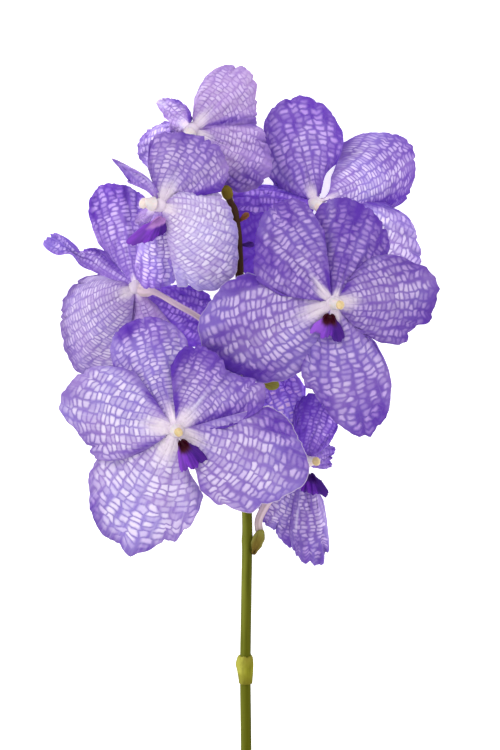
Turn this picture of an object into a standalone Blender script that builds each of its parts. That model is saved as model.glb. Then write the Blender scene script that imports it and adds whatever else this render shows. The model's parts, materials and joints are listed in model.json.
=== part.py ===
"""A cut spray of vanda orchid, lying on its back on a table.

The stem lies along Y with its tip at +Y, the table is z = 0, and the front blooms face +Z.
Seven netted blooms stand on pedicels round the upper half of the stem.  Every blade, such as a
tepal, a lip or a bract, is a fan that spreads from its root and is bent by one height formula.
"""

import math
from dataclasses import dataclass

import bmesh
import bpy
from mathutils import Matrix, Vector

MM = 0.001

SPRAY = "vanda_orchid_spray"
GAP = 0.3

TEPAL_THICKNESS = 0.8
LIP_THICKNESS = 1.2
BRACT_THICKNESS = 0.9
BRACT_DROP = 3.4
CORE_RADIUS = 3.2
TEPAL_ROOT = 2.0
BLADE_ROOT = 0.8
ROWS = 4
BRACT_ROWS = 3

# Shares of a blade's length: where its claw and its rise end, and where its ears stand
CLAW_ENDS = 0.45
RISE_ENDS = 0.3
EARS_START = 0.2
EARS_FADE = 0.3
EARS_END = 0.6
LIFT_POWER = 1.5

STEM_RADIUS = 2.1
RACHIS_RADIUS = 1.25
KNOB_RADIUS = 2.1
CUT_END = -161.74
SHEATH_AT = -71.5
SHEATH_LENGTH = 11.0
SHEATH_WALL = 0.7
SHEATH_SWELL = 0.4

PEDICEL_RADIUS = 1.0
OVARY_RADIUS = 1.6
OVARY_LENGTH = 7.0
FOOT_LENGTH = 3.0

COLUMN_LENGTH = 7.4
COLUMN_RADIUS = 2.3
CAP_RADIUS = 1.9
CAP_STRETCH = 0.9
CAP_SHARE = 0.32
OVARY_SHARE = 0.4

STEM_STEPS = 30
STEM_ROUND = 3
PEDICEL_ROUND = 2
SHEATH_SIDES = 12
BALL_SIDES = 10
BALL_RINGS = 6
MERGE = 0.01
SETTLE = 0.3
SHARP_DEGREES = 50.0

# The stem's middle line from its cut end to the bud scar: x, y, height and radius
STEM_LINE = (
    (3.1, CUT_END, STEM_RADIUS, STEM_RADIUS),
    (2.8, -104.0, 7.6, STEM_RADIUS),
    (2.5, -72.0, 13.4, STEM_RADIUS),
    (2.9, -42.0, 19.8, 2.05),
    (3.2, -13.0, 26.0, 2.0),
    (2.0, 2.4, 28.6, 1.9),
    (1.6, 42.8, 31.0, 1.6),
    (0.5, 75.3, 32.0, 1.4),
    (-0.3, 94.4, 33.0, RACHIS_RADIUS),
    (-1.8, 105.2, 34.2, RACHIS_RADIUS),
    (-3.5, 109.6, 35.6, 1.3),
    (-4.1, 111.4, 36.4, KNOB_RADIUS),
    (-4.7, 113.4, 37.2, KNOB_RADIUS),
    (-5.0, 114.8, 37.8, 1.2),
)


@dataclass
class Fan:
    """A blade seen from above, with bearings in degrees and lengths in millimetres."""

    first: float                # bearing of one side margin
    last: float                 # bearing of the other side margin
    reach: tuple                # distance from root to margin, at even steps of bearing
    layer: float = 0.0          # height of the blade over its root
    lift: float = 0.0           # height gained at the margin
    arch: float = 0.0           # rise halfway out
    cup: float = 0.0            # rise of both side margins over the midrib
    roll: float = 0.0           # rise of the last side over the first
    sweep: float = 0.0          # degrees that the blade turns from root to margin
    claw: float = 0.7           # share of the fan's angle that is left at the root
    ruffle: float = 1.6         # height of the waves along the margin
    waves: float = 5.0          # half waves along the margin
    phase: float = 0.0
    ears: float = 0.0           # rise of the side lobes near the root
    root: tuple = (0.0, 0.0, 0.0)


@dataclass
class Bloom:
    """One flower: the place of its middle, its tepals from back to front, its lip and its axes."""

    middle: tuple
    tepals: tuple
    lip: Fan
    front: tuple                # the way its column points
    back: tuple                 # the way its pedicel leaves
    route: tuple                # the pedicel's middle line from the stem towards the bloom
    leaves_at: float            # y at which the pedicel leaves the stem
    bract: Fan
    slope: tuple = (0.0, 0.0)   # rise of the whole bloom along x and along y
    size: float = 1.0


BLOOMS = (
    Bloom(
        middle=(-23.5, 22.1, 59.0),
        tepals=(
            Fan(77, 137, (29, 36.8, 41.8, 44.4, 44, 41.2, 33), layer=-2.2, lift=-6, cup=-2,
                roll=-1.5, waves=6, phase=0.5),
            Fan(197, 292, (30, 36.8, 41, 45.5, 48.6, 49.5, 48.3, 43.4, 39.2, 34, 27), layer=-1.4,
                lift=-5, arch=1, cup=-1, waves=7, phase=1.2),
            Fan(2, 95, (18, 30.5, 36, 36.2, 31.8, 29.6, 31.4, 32.7, 32.4, 30.2, 24), layer=-0.4,
                lift=4, arch=1, cup=-2, roll=-1, waves=6, phase=2.0),
            Fan(125, 214, (26, 33, 38.8, 42.8, 43.6, 44.8, 40, 34.8, 33.3, 28, 16), layer=1.0,
                lift=-3, arch=2, cup=-1.5, waves=7, phase=0.2),
            Fan(-69, 15, (24, 33, 39.5, 43.3, 47.6, 52, 50.8, 46, 42, 36), layer=1.6, lift=-1,
                arch=2, cup=-1, waves=6, phase=0.8),
        ),
        lip=Fan(-98, -26, (5.5, 11.5, 12, 12.2, 12.3, 11.8, 7.5), lift=2.6, arch=1.0, cup=-0.8,
                ruffle=0.3, ears=1.8, root=(1.5, -3.2, 2.9)),
        front=(0.1, -0.05, 0.99), back=(0.35, -0.3, -0.88), leaves_at=2.0,
        route=((-7.9, 8.0, 36.0), (-17.4, 16.5, 46.0)),
        bract=Fan(120, 168, (4.0, 6.0, 7.0, 5.5, 4.0), lift=1.5, ruffle=0.2),
        slope=(0.10, 0.04),
    ),
    Bloom(
        middle=(35.5, 69.8, 60.0),
        tepals=(
            Fan(36, 104, (24, 31, 34.5, 37.2, 39.5, 39.8, 38.4, 33), layer=-2.0, lift=-5, cup=-1,
                waves=6, phase=0.4),
            Fan(240, 318, (24, 31, 34.4, 39.5, 47.2, 51.2, 49, 42.8, 34, 22), layer=-1.6, lift=-4,
                arch=2, cup=-2, waves=6, phase=1.4),
            Fan(160, 247, (33, 40, 46.5, 51, 51.3, 48.6, 44.5, 40, 34.5, 27), layer=-0.2, lift=-7,
                arch=2, cup=-1, waves=6, phase=0.6),
            Fan(-48, 55, (16, 24, 31, 32.3, 38.2, 39, 40, 35, 30.8, 26, 18), layer=0.6, lift=-2,
                arch=1, cup=-2, waves=7, phase=2.2),
            Fan(97, 172, (27, 39.4, 42.7, 42.7, 40, 36.2, 33, 30, 20), layer=1.8, lift=-1, arch=2,
                cup=-2, waves=6, phase=1.0),
        ),
        lip=Fan(215, 310, (7.5, 10.6, 11.3, 11.2, 9.3, 10.9, 10.9, 6), lift=2.4, arch=1.0,
                cup=-0.8, ruffle=0.3, ears=1.8, root=(-1.1, -3.6, 1.0)),
        front=(0.26, -0.06, 0.96), back=(-0.4, -0.3, -0.87), leaves_at=46.0,
        route=((13.1, 51.5, 37.0), (28.6, 63.5, 47.0)),
        bract=Fan(-34, -6, (10.2, 12.4, 12.6, 10.4), lift=4.0, arch=1.0, ruffle=0.2),
        slope=(-0.10, 0.05),
    ),
    Bloom(
        middle=(-29.8, 107.1, 50.0),
        tepals=(
            Fan(240, 296, (16, 27, 31.5, 31, 29.8, 27, 20), layer=-1.2, lift=-9, arch=1,
                waves=5, phase=0.4),
            Fan(190, 236, (8, 10.5, 11, 10, 7.5), layer=-2.0, lift=-17, cup=-2, waves=3),
            Fan(12, 108, (21, 28.2, 30, 30.9, 30.7, 29.2, 27.8, 27.2, 25, 14), layer=0.4, lift=2,
                arch=3, cup=-2, waves=6, phase=1.1),
            Fan(122, 150, (15.5, 20.5, 24, 20.5, 15), layer=0.2, lift=-4, arch=2, roll=-7,
                sweep=28, claw=0.9, ruffle=0.8, waves=4),
            Fan(-78, 34, (31, 34.2, 38, 38.2, 36.5, 33, 30.3, 27.5, 24.8, 21.5, 17, 12), layer=1.4,
                lift=-2, arch=5, cup=-4, waves=6, phase=0.3),
        ),
        lip=Fan(206, 285, (9, 15.8, 14.6, 11.5, 9, 7.5, 6.3, 5), lift=4.0, arch=1.2, cup=-1.0,
                ruffle=0.3, ears=1.2, root=(1.4, -4.2, 2.8)),
        front=(-0.8, 0.1, 0.6), back=(0.7, -0.4, -0.6), leaves_at=76.0,
        route=((-8.9, 84.0, 34.0), (-18.9, 98.0, 40.0)),
        bract=Fan(178, 222, (3.5, 5.2, 5.8, 5.0, 3.5), lift=1.0, ruffle=0.2),
    ),
    Bloom(
        middle=(-39.8, 76.5, 24.0),
        tepals=(
            Fan(-48, 4, (30, 35, 33.8, 32, 30, 27, 19), layer=-2.0, lift=-6, arch=-1, waves=5),
            Fan(-100, -40, (22, 27, 30, 33, 34.5, 32.5, 20), layer=-0.6, lift=-9, arch=1, cup=-2,
                claw=0.95, waves=5, phase=1.0),
            Fan(76, 130, (25, 33.5, 37.2, 39.3, 40.6, 38.7, 33, 22), layer=-0.4, lift=3, arch=-1,
                cup=-2, waves=5, phase=0.6),
            Fan(131, 161, (17, 22.5, 25, 36.5, 38.3, 37, 26), layer=-0.6, lift=4, arch=-2,
                roll=4, claw=0.9, ruffle=1.0, waves=5),
            Fan(158, 263, (15, 21.5, 25.5, 28.8, 31.4, 33.6, 36.4, 38.8, 38, 34.5, 27), layer=0.6,
                lift=-28, arch=6, cup=-2, claw=0.95, waves=6, phase=0.9),
        ),
        lip=Fan(222, 284, (7, 11, 11.5, 12, 11, 7), lift=-3.0, arch=-1.0, cup=1.5, ruffle=0.3,
                root=(-1.5, -2.4, -3.2)),
        front=(-0.5, 0.1, -0.86), back=(0.76, -0.2, 0.62), leaves_at=53.5,
        route=((-13.4, 63.4, 33.5), (-24.9, 70.4, 33.5)),
        bract=Fan(150, 196, (3.5, 5.2, 5.8, 5.0, 3.5), lift=2.0, ruffle=0.2),
        size=1.02,
    ),
    Bloom(
        middle=(-17.9, 136.6, 34.0),
        tepals=(
            Fan(-125, -68, (17, 22, 25, 25, 24, 20, 15), layer=-1.6, lift=-3, arch=1, waves=5),
            Fan(158, 240, (11, 15, 19, 21, 22.4, 22, 19.3, 14.3), layer=-0.8, lift=-10, cup=-2,
                waves=5, phase=1.2),
            Fan(6, 86, (24, 25.4, 26.8, 29.8, 31.2, 29.9, 26.5, 21.3, 13), layer=-0.4, lift=-5,
                arch=5, cup=-3, waves=5, phase=0.7),
            Fan(95, 160, (8, 12, 14.2, 15.6, 17.5, 15, 10.5, 8.5), layer=0.2, lift=4,
                waves=6),
            Fan(-62, 10, (24, 29, 32, 33.8, 33.4, 31, 28.3, 26, 17), layer=1.0, lift=-3, arch=4,
                cup=-3, waves=5, phase=1.4),
        ),
        lip=Fan(200, 262, (6, 10.5, 12, 11.5, 11, 6), lift=2.0, arch=0.8, cup=-0.8, ruffle=0.3,
                ears=1.0, root=(-2.0, -3.4, 0.5)),
        front=(-0.25, -0.45, 0.86), back=(0.3, -0.25, -0.92), leaves_at=105.0,
        route=((-3.9, 112.0, 27.0), (-11.9, 128.0, 25.0)),
        bract=Fan(20, 66, (3.0, 4.4, 4.8, 4.2, 3.0), lift=0.5, ruffle=0.2),
        size=1.01,
    ),
    Bloom(
        middle=(29.5, 109.3, 18.0),
        tepals=(
            Fan(-62, 2, (30, 40, 44.8, 47.2, 45, 40.2, 35.6, 27), layer=-1.6, lift=-11, arch=2,
                cup=-2, waves=6),
            Fan(186, 258, (29, 34, 36, 37.5, 38, 34, 24), layer=-1.2, lift=-7, arch=1, waves=5,
                phase=0.8),
            Fan(152, 200, (14, 22.5, 29.7, 30.6, 29.5, 25), layer=0.0, lift=-6, arch=1, cup=-2,
                waves=4, phase=1.6),
            Fan(-4, 66, (29.2, 36, 39, 41.8, 42.4, 41.2, 37.4, 32, 26), layer=0.6, lift=-33, arch=3,
                sweep=12, claw=0.2, waves=6, phase=0.5),
            Fan(58, 156, (17, 27.8, 33.5, 38, 40.5, 40.6, 38.3, 33, 24, 21.5, 17), layer=1.4,
                lift=-6, arch=2, cup=-1, waves=6, phase=1.3),
        ),
        lip=Fan(-115, -55, (6, 10.5, 11.5, 11.5, 11, 6), lift=0.5, arch=1.2, cup=-1.8,
                ruffle=0.3, ears=1.5, root=(0.6, -3.6, 0.2)),
        front=(0.1, -0.2, 0.97), back=(-0.25, 0.0, -0.97), leaves_at=96.0,
        route=((-6.4, 98.5, 26.0), (-5.9, 101.0, 12.0), (5.1, 104.5, 5.5), (20.1, 108.0, 6.5)),
        bract=Fan(-20, 26, (3.0, 4.4, 4.8, 4.2, 3.0), lift=1.5, ruffle=0.2),
        size=1.02,
    ),
    Bloom(
        middle=(24.7, 9.2, 26.0),
        tepals=(
            Fan(88, 134, (28, 34, 34.8, 34, 31.5, 25.5, 17), layer=-1.4, lift=2, arch=1,
                waves=5),
            Fan(215, 272, (17, 22.6, 26.8, 29, 31, 32.4, 27), layer=-1.4, lift=-12, arch=1,
                waves=5, phase=0.8),
            Fan(-104, -62, (23, 32, 37, 39.2, 38.6, 26, 17), layer=-0.2, lift=-9, arch=2, cup=-2,
                waves=6, phase=0.4),
            Fan(-22, 38, (7, 10.8, 10.3, 12.2, 12.9, 10.5), layer=0.2, lift=-7, ruffle=1.6,
                waves=6),
            Fan(34, 106, (11, 17.7, 22.2, 24.8, 26.6, 25.7, 22.5, 15), layer=1.2, lift=4, arch=2,
                cup=-3, waves=6, phase=1.1),
        ),
        lip=Fan(-122, -36, (6, 7.6, 8.2, 8.9, 11, 6), lift=2.5, arch=0.8, cup=-1.2, ruffle=0.3,
                ears=1.2, root=(2.4, -3.8, 1.15)),
        front=(0.5, 0.08, 0.86), back=(-0.92, -0.15, -0.36), leaves_at=-21.0,
        route=((7.7, -13.0, 25.2), (13.6, -1.5, 26.0)),
        bract=Fan(40, 84, (5.0, 8.2, 9.6, 7.8, 5.0), layer=2.6, ruffle=0.2, root=(0.2, -2.2, 0.4)),
        size=1.02,
    ),
)

# Linear colour, roughness and metallic value of each sub-part
FINISHES = {
    "tepal": ((0.22, 0.13, 0.55), 0.5, 0.0),
    "lip": ((0.07, 0.006, 0.30), 0.35, 0.0),
    "column": ((0.80, 0.68, 0.50), 0.4, 0.0),
    "pedicel": ((0.72, 0.55, 0.62), 0.45, 0.0),
    "bract": ((0.26, 0.22, 0.04), 0.55, 0.0),
    "stem": ((0.13, 0.19, 0.025), 0.45, 0.0),
    "sheath": ((0.28, 0.29, 0.03), 0.5, 0.0),
}


def clear_scene():
    """Remove what the scene holds before the spray is made."""
    for thing in list(bpy.data.objects):
        bpy.data.objects.remove(thing, do_unlink=True)


def new_collection(name):
    """A collection linked to the scene."""
    collection = bpy.data.collections.new(name)
    bpy.context.scene.collection.children.link(collection)
    return collection


def new_holder(name, place, collection, parent=None):
    """An empty that carries the pieces of the spray or of one bloom."""
    holder = bpy.data.objects.new(name, None)
    holder.empty_display_size = CORE_RADIUS * MM
    holder.location = Vector(place) * MM
    holder.parent = parent
    collection.objects.link(holder)
    return holder


def finish_named(kind):
    """The Principled material of one kind of sub-part."""
    material = bpy.data.materials.get(kind)
    if material is None:
        colour, roughness, metallic = FINISHES[kind]
        material = bpy.data.materials.new(kind)
        material.use_nodes = True
        shader = material.node_tree.nodes["Principled BSDF"]
        shader.inputs["Base Color"].default_value = (*colour, 1.0)
        shader.inputs["Roughness"].default_value = roughness
        shader.inputs["Metallic"].default_value = metallic
        material.diffuse_color = (*colour, 1.0)
    return material


def smooth(value):
    """Ease from 0 to 1, flat at both ends."""
    value = min(max(value, 0.0), 1.0)
    return value * value * (3.0 - 2.0 * value)


def spline(values, place):
    """A smooth curve through evenly spaced values, read at a place from 0 to 1."""
    steps = len(values) - 1
    index = min(int(place * steps), steps - 1)
    part = place * steps - index
    before = values[max(index - 1, 0)]
    here = values[index]
    there = values[index + 1]
    after = values[min(index + 2, steps)]
    return 0.5 * (2.0 * here + (there - before) * part
                  + (2.0 * before - 5.0 * here + 4.0 * there - after) * part ** 2
                  + (3.0 * here - before - 3.0 * there + after) * part ** 3)


def fan_point(fan, along, across, inner, size):
    """The point of a fan at a share of its length and a share of its width."""
    middle = 0.5 * (fan.first + fan.last)
    bearing = fan.first + (fan.last - fan.first) * across - middle
    width = fan.claw + (1.0 - fan.claw) * smooth(along / CLAW_ENDS)
    angle = math.radians(middle + bearing * width - fan.sweep * (1.0 - along))
    distance = inner + (size * spline(fan.reach, across) - inner) * along
    side = 2.0 * across - 1.0
    height = (fan.layer * smooth(along / RISE_ENDS)
              + fan.lift * along ** LIFT_POWER
              + 4.0 * fan.arch * along * (1.0 - along)
              + (fan.cup * side ** 2 + fan.roll * side) * along
              + fan.ruffle * along ** 2 * math.sin(math.pi * fan.waves * across + fan.phase)
              + fan.ears * side ** 4 * smooth(along / EARS_START)
              * smooth((EARS_END - along) / EARS_FADE))
    return Vector((distance * math.cos(angle), distance * math.sin(angle), height))


def fan_object(name, fan, place, inner, thickness, size=1.0, slope=(0.0, 0.0), rows=ROWS):
    """A fan as a thin solid: a grid moved by the formula and given its thickness."""
    columns = len(fan.reach) - 1
    shape = bmesh.new()
    bmesh.ops.create_grid(shape, x_segments=rows, y_segments=columns, size=1.0)
    for vertex in shape.verts:
        along = 0.5 * (vertex.co.x + 1.0)
        across = 0.5 * (vertex.co.y + 1.0)
        point = Vector(fan.root) + fan_point(fan, along, across, inner, size)
        point.z += slope[0] * point.x + slope[1] * point.y
        point += place
        point.z = max(point.z, 0.5 * thickness)
        vertex.co = point * MM
    bmesh.ops.triangulate(shape, faces=shape.faces)
    blade = object_from(name, shape)
    solid = blade.modifiers.new("thickness", "SOLIDIFY")
    solid.thickness = thickness * MM
    solid.offset = 0.0
    return blade


def object_from(name, shape):
    """A new object that holds a finished bmesh."""
    mesh = bpy.data.meshes.new(name)
    shape.to_mesh(mesh)
    shape.free()
    return bpy.data.objects.new(name, mesh)


def made_real(thing):
    """The object's evaluated mesh in world space, in place of its modifiers."""
    graph = bpy.context.evaluated_depsgraph_get()
    mesh = bpy.data.meshes.new_from_object(thing.evaluated_get(graph))
    mesh.transform(thing.matrix_world)
    return mesh


def keep_largest_body(mesh):
    """Drop loose scraps and the walls of sealed pockets, and settle low points on the table."""
    shape = bmesh.new()
    shape.from_mesh(mesh)
    bodies = []
    unseen = set(shape.verts)
    while unseen:
        front = [unseen.pop()]
        body = set(front)
        while front:
            for edge in front.pop().link_edges:
                for vertex in edge.verts:
                    if vertex in unseen:
                        unseen.discard(vertex)
                        body.add(vertex)
                        front.append(vertex)
        bodies.append(body)
    bodies.sort(key=len)
    for body in bodies[:-1]:
        bmesh.ops.delete(shape, geom=list(body), context="VERTS")
    for vertex in shape.verts:
        if vertex.co.z < SETTLE * MM:
            vertex.co.z = 0.0
    bmesh.ops.triangulate(shape, faces=shape.faces)
    shape.to_mesh(mesh)
    shape.free()


def fused(name, kind, base, pieces, holder):
    """One object that unites a base with pieces that are sunk in it."""
    loose = new_collection(name + "_pieces")
    scene = bpy.context.scene.collection
    scene.objects.link(base)
    for piece in pieces:
        loose.objects.link(piece)
    union = base.modifiers.new("union", "BOOLEAN")
    union.operation = "UNION"
    union.operand_type = "COLLECTION"
    union.collection = loose
    union.solver = "EXACT"
    bpy.context.view_layer.update()
    mesh = made_real(base)
    for piece in [*pieces, base]:
        bpy.data.objects.remove(piece, do_unlink=True)
    bpy.data.collections.remove(loose)
    keep_largest_body(mesh)
    mesh.name = name
    return dressed(name, kind, mesh, holder)


def dressed(name, kind, mesh, holder):
    """An object of one sub-part on its holder, smooth shaded, with its own material."""
    mesh.transform(Matrix.Translation(-holder.location))
    thing = bpy.data.objects.new(name, mesh)
    thing.parent = holder
    mesh.materials.clear()
    mesh.materials.append(finish_named(kind))
    mesh.shade_smooth()
    mesh.set_sharp_from_angle(angle=math.radians(SHARP_DEGREES))
    holder.users_collection[0].objects.link(thing)
    return thing


def ball(name, place, radius, stretch=1.0, axis=(0.0, 0.0, 1.0)):
    """A ball, or an egg drawn out along an axis."""
    shape = bmesh.new()
    bmesh.ops.create_uvsphere(shape, u_segments=BALL_SIDES, v_segments=BALL_RINGS,
                              radius=radius * MM)
    turn = Vector((0.0, 0.0, 1.0)).rotation_difference(Vector(axis).normalized())
    for vertex in shape.verts:
        vertex.co.z *= stretch
        vertex.co = turn @ vertex.co + place * MM
    bmesh.ops.triangulate(shape, faces=shape.faces)
    return object_from(name, shape)


def curve_points(line, count):
    """Points of a smooth curve through a line's own points, each with its radius."""
    columns = list(zip(*line))
    return [[spline(column, step / count) for column in columns] for step in range(count + 1)]


def tube(name, kind, line, count, sides, holder):
    """A round stalk along a line of x, y, height and radius."""
    curve = bpy.data.curves.new(name, "CURVE")
    curve.dimensions = "3D"
    curve.bevel_depth = MM
    curve.bevel_resolution = sides
    curve.use_fill_caps = True
    points = curve_points(line, count)
    run = curve.splines.new("POLY")
    run.points.add(len(points) - 1)
    for point, (x, y, z, radius) in zip(run.points, points):
        point.co = (x * MM, y * MM, z * MM, 1.0)
        point.radius = radius
    stalk = bpy.data.objects.new(name, curve)
    bpy.context.scene.collection.objects.link(stalk)
    bpy.context.view_layer.update()
    mesh = made_real(stalk)
    bpy.data.objects.remove(stalk, do_unlink=True)
    shape = bmesh.new()
    shape.from_mesh(mesh)
    bmesh.ops.remove_doubles(shape, verts=shape.verts, dist=MERGE * MM)
    for vertex in shape.verts:
        vertex.co.z = max(vertex.co.z, 0.0)
    bmesh.ops.triangulate(shape, faces=shape.faces)
    shape.to_mesh(mesh)
    shape.free()
    return dressed(name, kind, mesh, holder)


def stem_at(y):
    """The stem's middle point, its run and its radius where it passes a given y."""
    line = curve_points(STEM_LINE, STEM_STEPS)
    for low, high in zip(line, line[1:]):
        if low[1] <= y <= high[1]:
            share = (y - low[1]) / (high[1] - low[1])
            x, _, z, radius = (a + (b - a) * share for a, b in zip(low, high))
            run = (Vector(high[:3]) - Vector(low[:3])).normalized()
            return Vector((x, y, z)), run, radius
    raise ValueError("no stem at that y")


def make_stem(holder):
    """The cut stem and the rachis above it, ending in a bud scar."""
    return tube("stem", "stem", STEM_LINE, STEM_STEPS, STEM_ROUND, holder)


def make_sheath(holder):
    """The papery sheath that clasps the stem at its node."""
    middle, run, radius = stem_at(SHEATH_AT)
    inner = radius + GAP
    outer = inner + SHEATH_WALL
    half = 0.5 * SHEATH_LENGTH
    rings = (
        (inner, -half), (outer, -half), (outer + SHEATH_SWELL, -0.35 * half),
        (outer + 0.5 * SHEATH_SWELL, 0.2 * half), (outer, half), (inner, half),
    )
    shape = bmesh.new()
    profile = [shape.verts.new((distance * MM, 0.0, height * MM)) for distance, height in rings]
    for start, end in zip(profile, profile[1:] + profile[:1]):
        shape.edges.new((start, end))
    sleeve = object_from("stem_sheath", shape)
    bpy.context.scene.collection.objects.link(sleeve)
    turned = sleeve.modifiers.new("turned", "SCREW")
    turned.steps = SHEATH_SIDES
    turned.render_steps = SHEATH_SIDES
    turned.use_merge_vertices = True
    turned.merge_threshold = MERGE * MM
    bpy.context.view_layer.update()
    mesh = made_real(sleeve)
    bpy.data.objects.remove(sleeve, do_unlink=True)
    shape = bmesh.new()
    shape.from_mesh(mesh)
    bmesh.ops.recalc_face_normals(shape, faces=shape.faces)
    bmesh.ops.triangulate(shape, faces=shape.faces)
    shape.to_mesh(mesh)
    shape.free()
    sheath = dressed("stem_sheath", "sheath", mesh, holder)
    sheath.location = middle * MM
    sheath.rotation_euler = Vector((0.0, 0.0, 1.0)).rotation_difference(run).to_euler()
    return sheath


def make_tepals(name, bloom, holder):
    """The five tepals of a bloom, grown together at its middle."""
    middle = Vector(bloom.middle)
    core = ball(name + "_core", middle, CORE_RADIUS)
    blades = [
        fan_object(f"{name}_blade_{number}", fan, middle, TEPAL_ROOT, TEPAL_THICKNESS,
                   bloom.size, bloom.slope)
        for number, fan in enumerate(bloom.tepals, start=1)
    ]
    return fused(name + "_tepals", "tepal", core, blades, holder)


def make_lip(name, bloom, holder):
    """The small dark lip with its side lobes turned up."""
    blade = fan_object(name + "_lip", bloom.lip, Vector(bloom.middle), BLADE_ROOT, LIP_THICKNESS,
                       slope=bloom.slope)
    bpy.context.scene.collection.objects.link(blade)
    bpy.context.view_layer.update()
    mesh = made_real(blade)
    bpy.data.objects.remove(blade, do_unlink=True)
    return dressed(name + "_lip", "lip", mesh, holder)


def make_column(name, bloom, holder):
    """The short column with the anther cap at its end."""
    front = Vector(bloom.front).normalized()
    middle = Vector(bloom.middle)
    centre = middle + front * (CORE_RADIUS + GAP + 0.5 * COLUMN_LENGTH)
    stretch = 0.5 * COLUMN_LENGTH / COLUMN_RADIUS
    body = ball(name + "_body", centre, COLUMN_RADIUS, stretch, front)
    cap = ball(name + "_cap", centre + front * CAP_SHARE * COLUMN_LENGTH, CAP_RADIUS,
               CAP_STRETCH, front)
    return fused(name + "_column", "column", body, [cap], holder)


def make_pedicel(name, bloom, holder):
    """The stalk from the rachis to the back of the bloom, thickening into the ovary."""
    start, run, radius = stem_at(bloom.leaves_at)
    aim = Vector(bloom.route[0]) - start
    aim = (aim - run * aim.dot(run)).normalized()
    back = Vector(bloom.back).normalized()
    seat = Vector(bloom.middle) + back * (CORE_RADIUS + GAP)
    foot = start + aim * (radius + 2.0 * GAP)
    line = [(*foot, PEDICEL_RADIUS), (*(foot + aim * FOOT_LENGTH), PEDICEL_RADIUS)]
    line += [(*point, PEDICEL_RADIUS) for point in bloom.route]
    line.append((*(seat + back * OVARY_LENGTH), PEDICEL_RADIUS))
    line.append((*(seat + OVARY_SHARE * back * OVARY_LENGTH), OVARY_RADIUS))
    line.append((*seat, OVARY_RADIUS))
    return tube(name + "_pedicel", "pedicel", line, 2 * len(line), PEDICEL_ROUND, holder)


def make_bract(number, bloom, holder):
    """The small scale under the foot of a pedicel."""
    name = f"bract_{number}"
    start, _, radius = stem_at(bloom.leaves_at - BRACT_DROP)
    middle = math.radians(0.5 * (bloom.bract.first + bloom.bract.last))
    side = math.copysign(1.0, math.cos(middle))
    place = start + Vector((side * (radius + GAP), 0.0, 0.0))
    blade = fan_object(name, bloom.bract, place, BLADE_ROOT, BRACT_THICKNESS, rows=BRACT_ROWS)
    bpy.context.scene.collection.objects.link(blade)
    bpy.context.view_layer.update()
    mesh = made_real(blade)
    bpy.data.objects.remove(blade, do_unlink=True)
    return dressed(name, "bract", mesh, holder)


def main():
    """Build the whole spray."""
    clear_scene()
    collection = new_collection(SPRAY)
    spray = new_holder(SPRAY, (0.0, 0.0, 0.0), collection)
    make_stem(spray)
    make_sheath(spray)
    for number, bloom in enumerate(BLOOMS, start=1):
        name = f"bloom_{number}"
        flower = new_holder(name, bloom.middle, collection, spray)
        make_tepals(name, bloom, flower)
        make_lip(name, bloom, flower)
        make_column(name, bloom, flower)
        make_pedicel(name, bloom, flower)
        make_bract(number, bloom, spray)


main()
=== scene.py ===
"""Looks of the cut vanda orchid spray: fine petals, lips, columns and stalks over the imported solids.

Lengths are in millimetres until a mesh is made.  A petal, a lip or a bract is a fan, as in the
solids: it spreads from its root by bearing and reach, and one height formula bends it.
"""

import json
import math
from dataclasses import dataclass, replace

import bpy
import numpy as np
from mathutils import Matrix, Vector

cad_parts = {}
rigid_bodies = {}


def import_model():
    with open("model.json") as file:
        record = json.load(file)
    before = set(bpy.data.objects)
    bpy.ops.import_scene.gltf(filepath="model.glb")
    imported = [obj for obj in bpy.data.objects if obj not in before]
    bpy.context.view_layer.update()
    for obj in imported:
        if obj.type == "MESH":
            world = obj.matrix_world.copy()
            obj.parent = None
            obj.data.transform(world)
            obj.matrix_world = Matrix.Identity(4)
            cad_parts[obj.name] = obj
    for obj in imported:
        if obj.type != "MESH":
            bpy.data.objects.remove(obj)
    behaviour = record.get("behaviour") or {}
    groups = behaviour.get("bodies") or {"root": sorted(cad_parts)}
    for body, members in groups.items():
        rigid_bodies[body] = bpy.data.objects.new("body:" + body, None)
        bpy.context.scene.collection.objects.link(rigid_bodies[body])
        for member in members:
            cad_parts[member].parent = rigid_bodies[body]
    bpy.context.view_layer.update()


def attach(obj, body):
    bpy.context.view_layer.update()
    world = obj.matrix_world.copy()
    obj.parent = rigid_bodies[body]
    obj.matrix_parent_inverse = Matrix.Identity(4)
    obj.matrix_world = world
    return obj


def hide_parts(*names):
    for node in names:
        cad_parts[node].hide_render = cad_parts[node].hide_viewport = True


MM = 0.001

# The camera looks straight down on the spray, as the photo looks at it
CAMERA_X = 4.3
CAMERA_Y = 42.75
CAMERA_HEIGHT = 1500.0
PIXEL = 0.38
PIXEL_LEVEL = 45.0
FRAME_PIXELS = 750
SENSOR = 36.0

# The studio in metres: the lights have a place, a size and a power
FAR_CLIP = 20.0
FLOOR_HALF = 3.0
FLOOR_GLOW = 0.58
SKY_GLOW = 1.3
AIM = (0.0, 0.05, 0.03)
LIGHTS = {"key": ((-0.9, 0.9, 1.5), 0.6, 9.0), "fill": ((1.1, -0.3, 1.3), 1.2, 2.0)}
WHITE_LIGHT = (1.0, 1.0, 1.0, 1.0)

# Sizes of the solids
GAP = 0.3
CORE_RADIUS = 3.2
TEPAL_ROOT = 2.0
BLADE_ROOT = 0.8
CLAW_ENDS = 0.45
RISE_ENDS = 0.3
EARS_START = 0.2
EARS_FADE = 0.3
EARS_END = 0.6
LIFT_POWER = 1.5
BRACT_DROP = 3.4
STEM_RADIUS = 2.1
RACHIS_RADIUS = 1.25
KNOB_RADIUS = 2.1
CUT_END = -161.74
SHEATH_AT = -71.5
SHEATH_LENGTH = 11.0
SHEATH_WALL = 0.7
PEDICEL_RADIUS = 1.0
OVARY_RADIUS = 1.6
OVARY_LENGTH = 7.0
OVARY_SHARE = 0.4
FOOT_LENGTH = 3.0
COLUMN_LENGTH = 7.4

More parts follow.
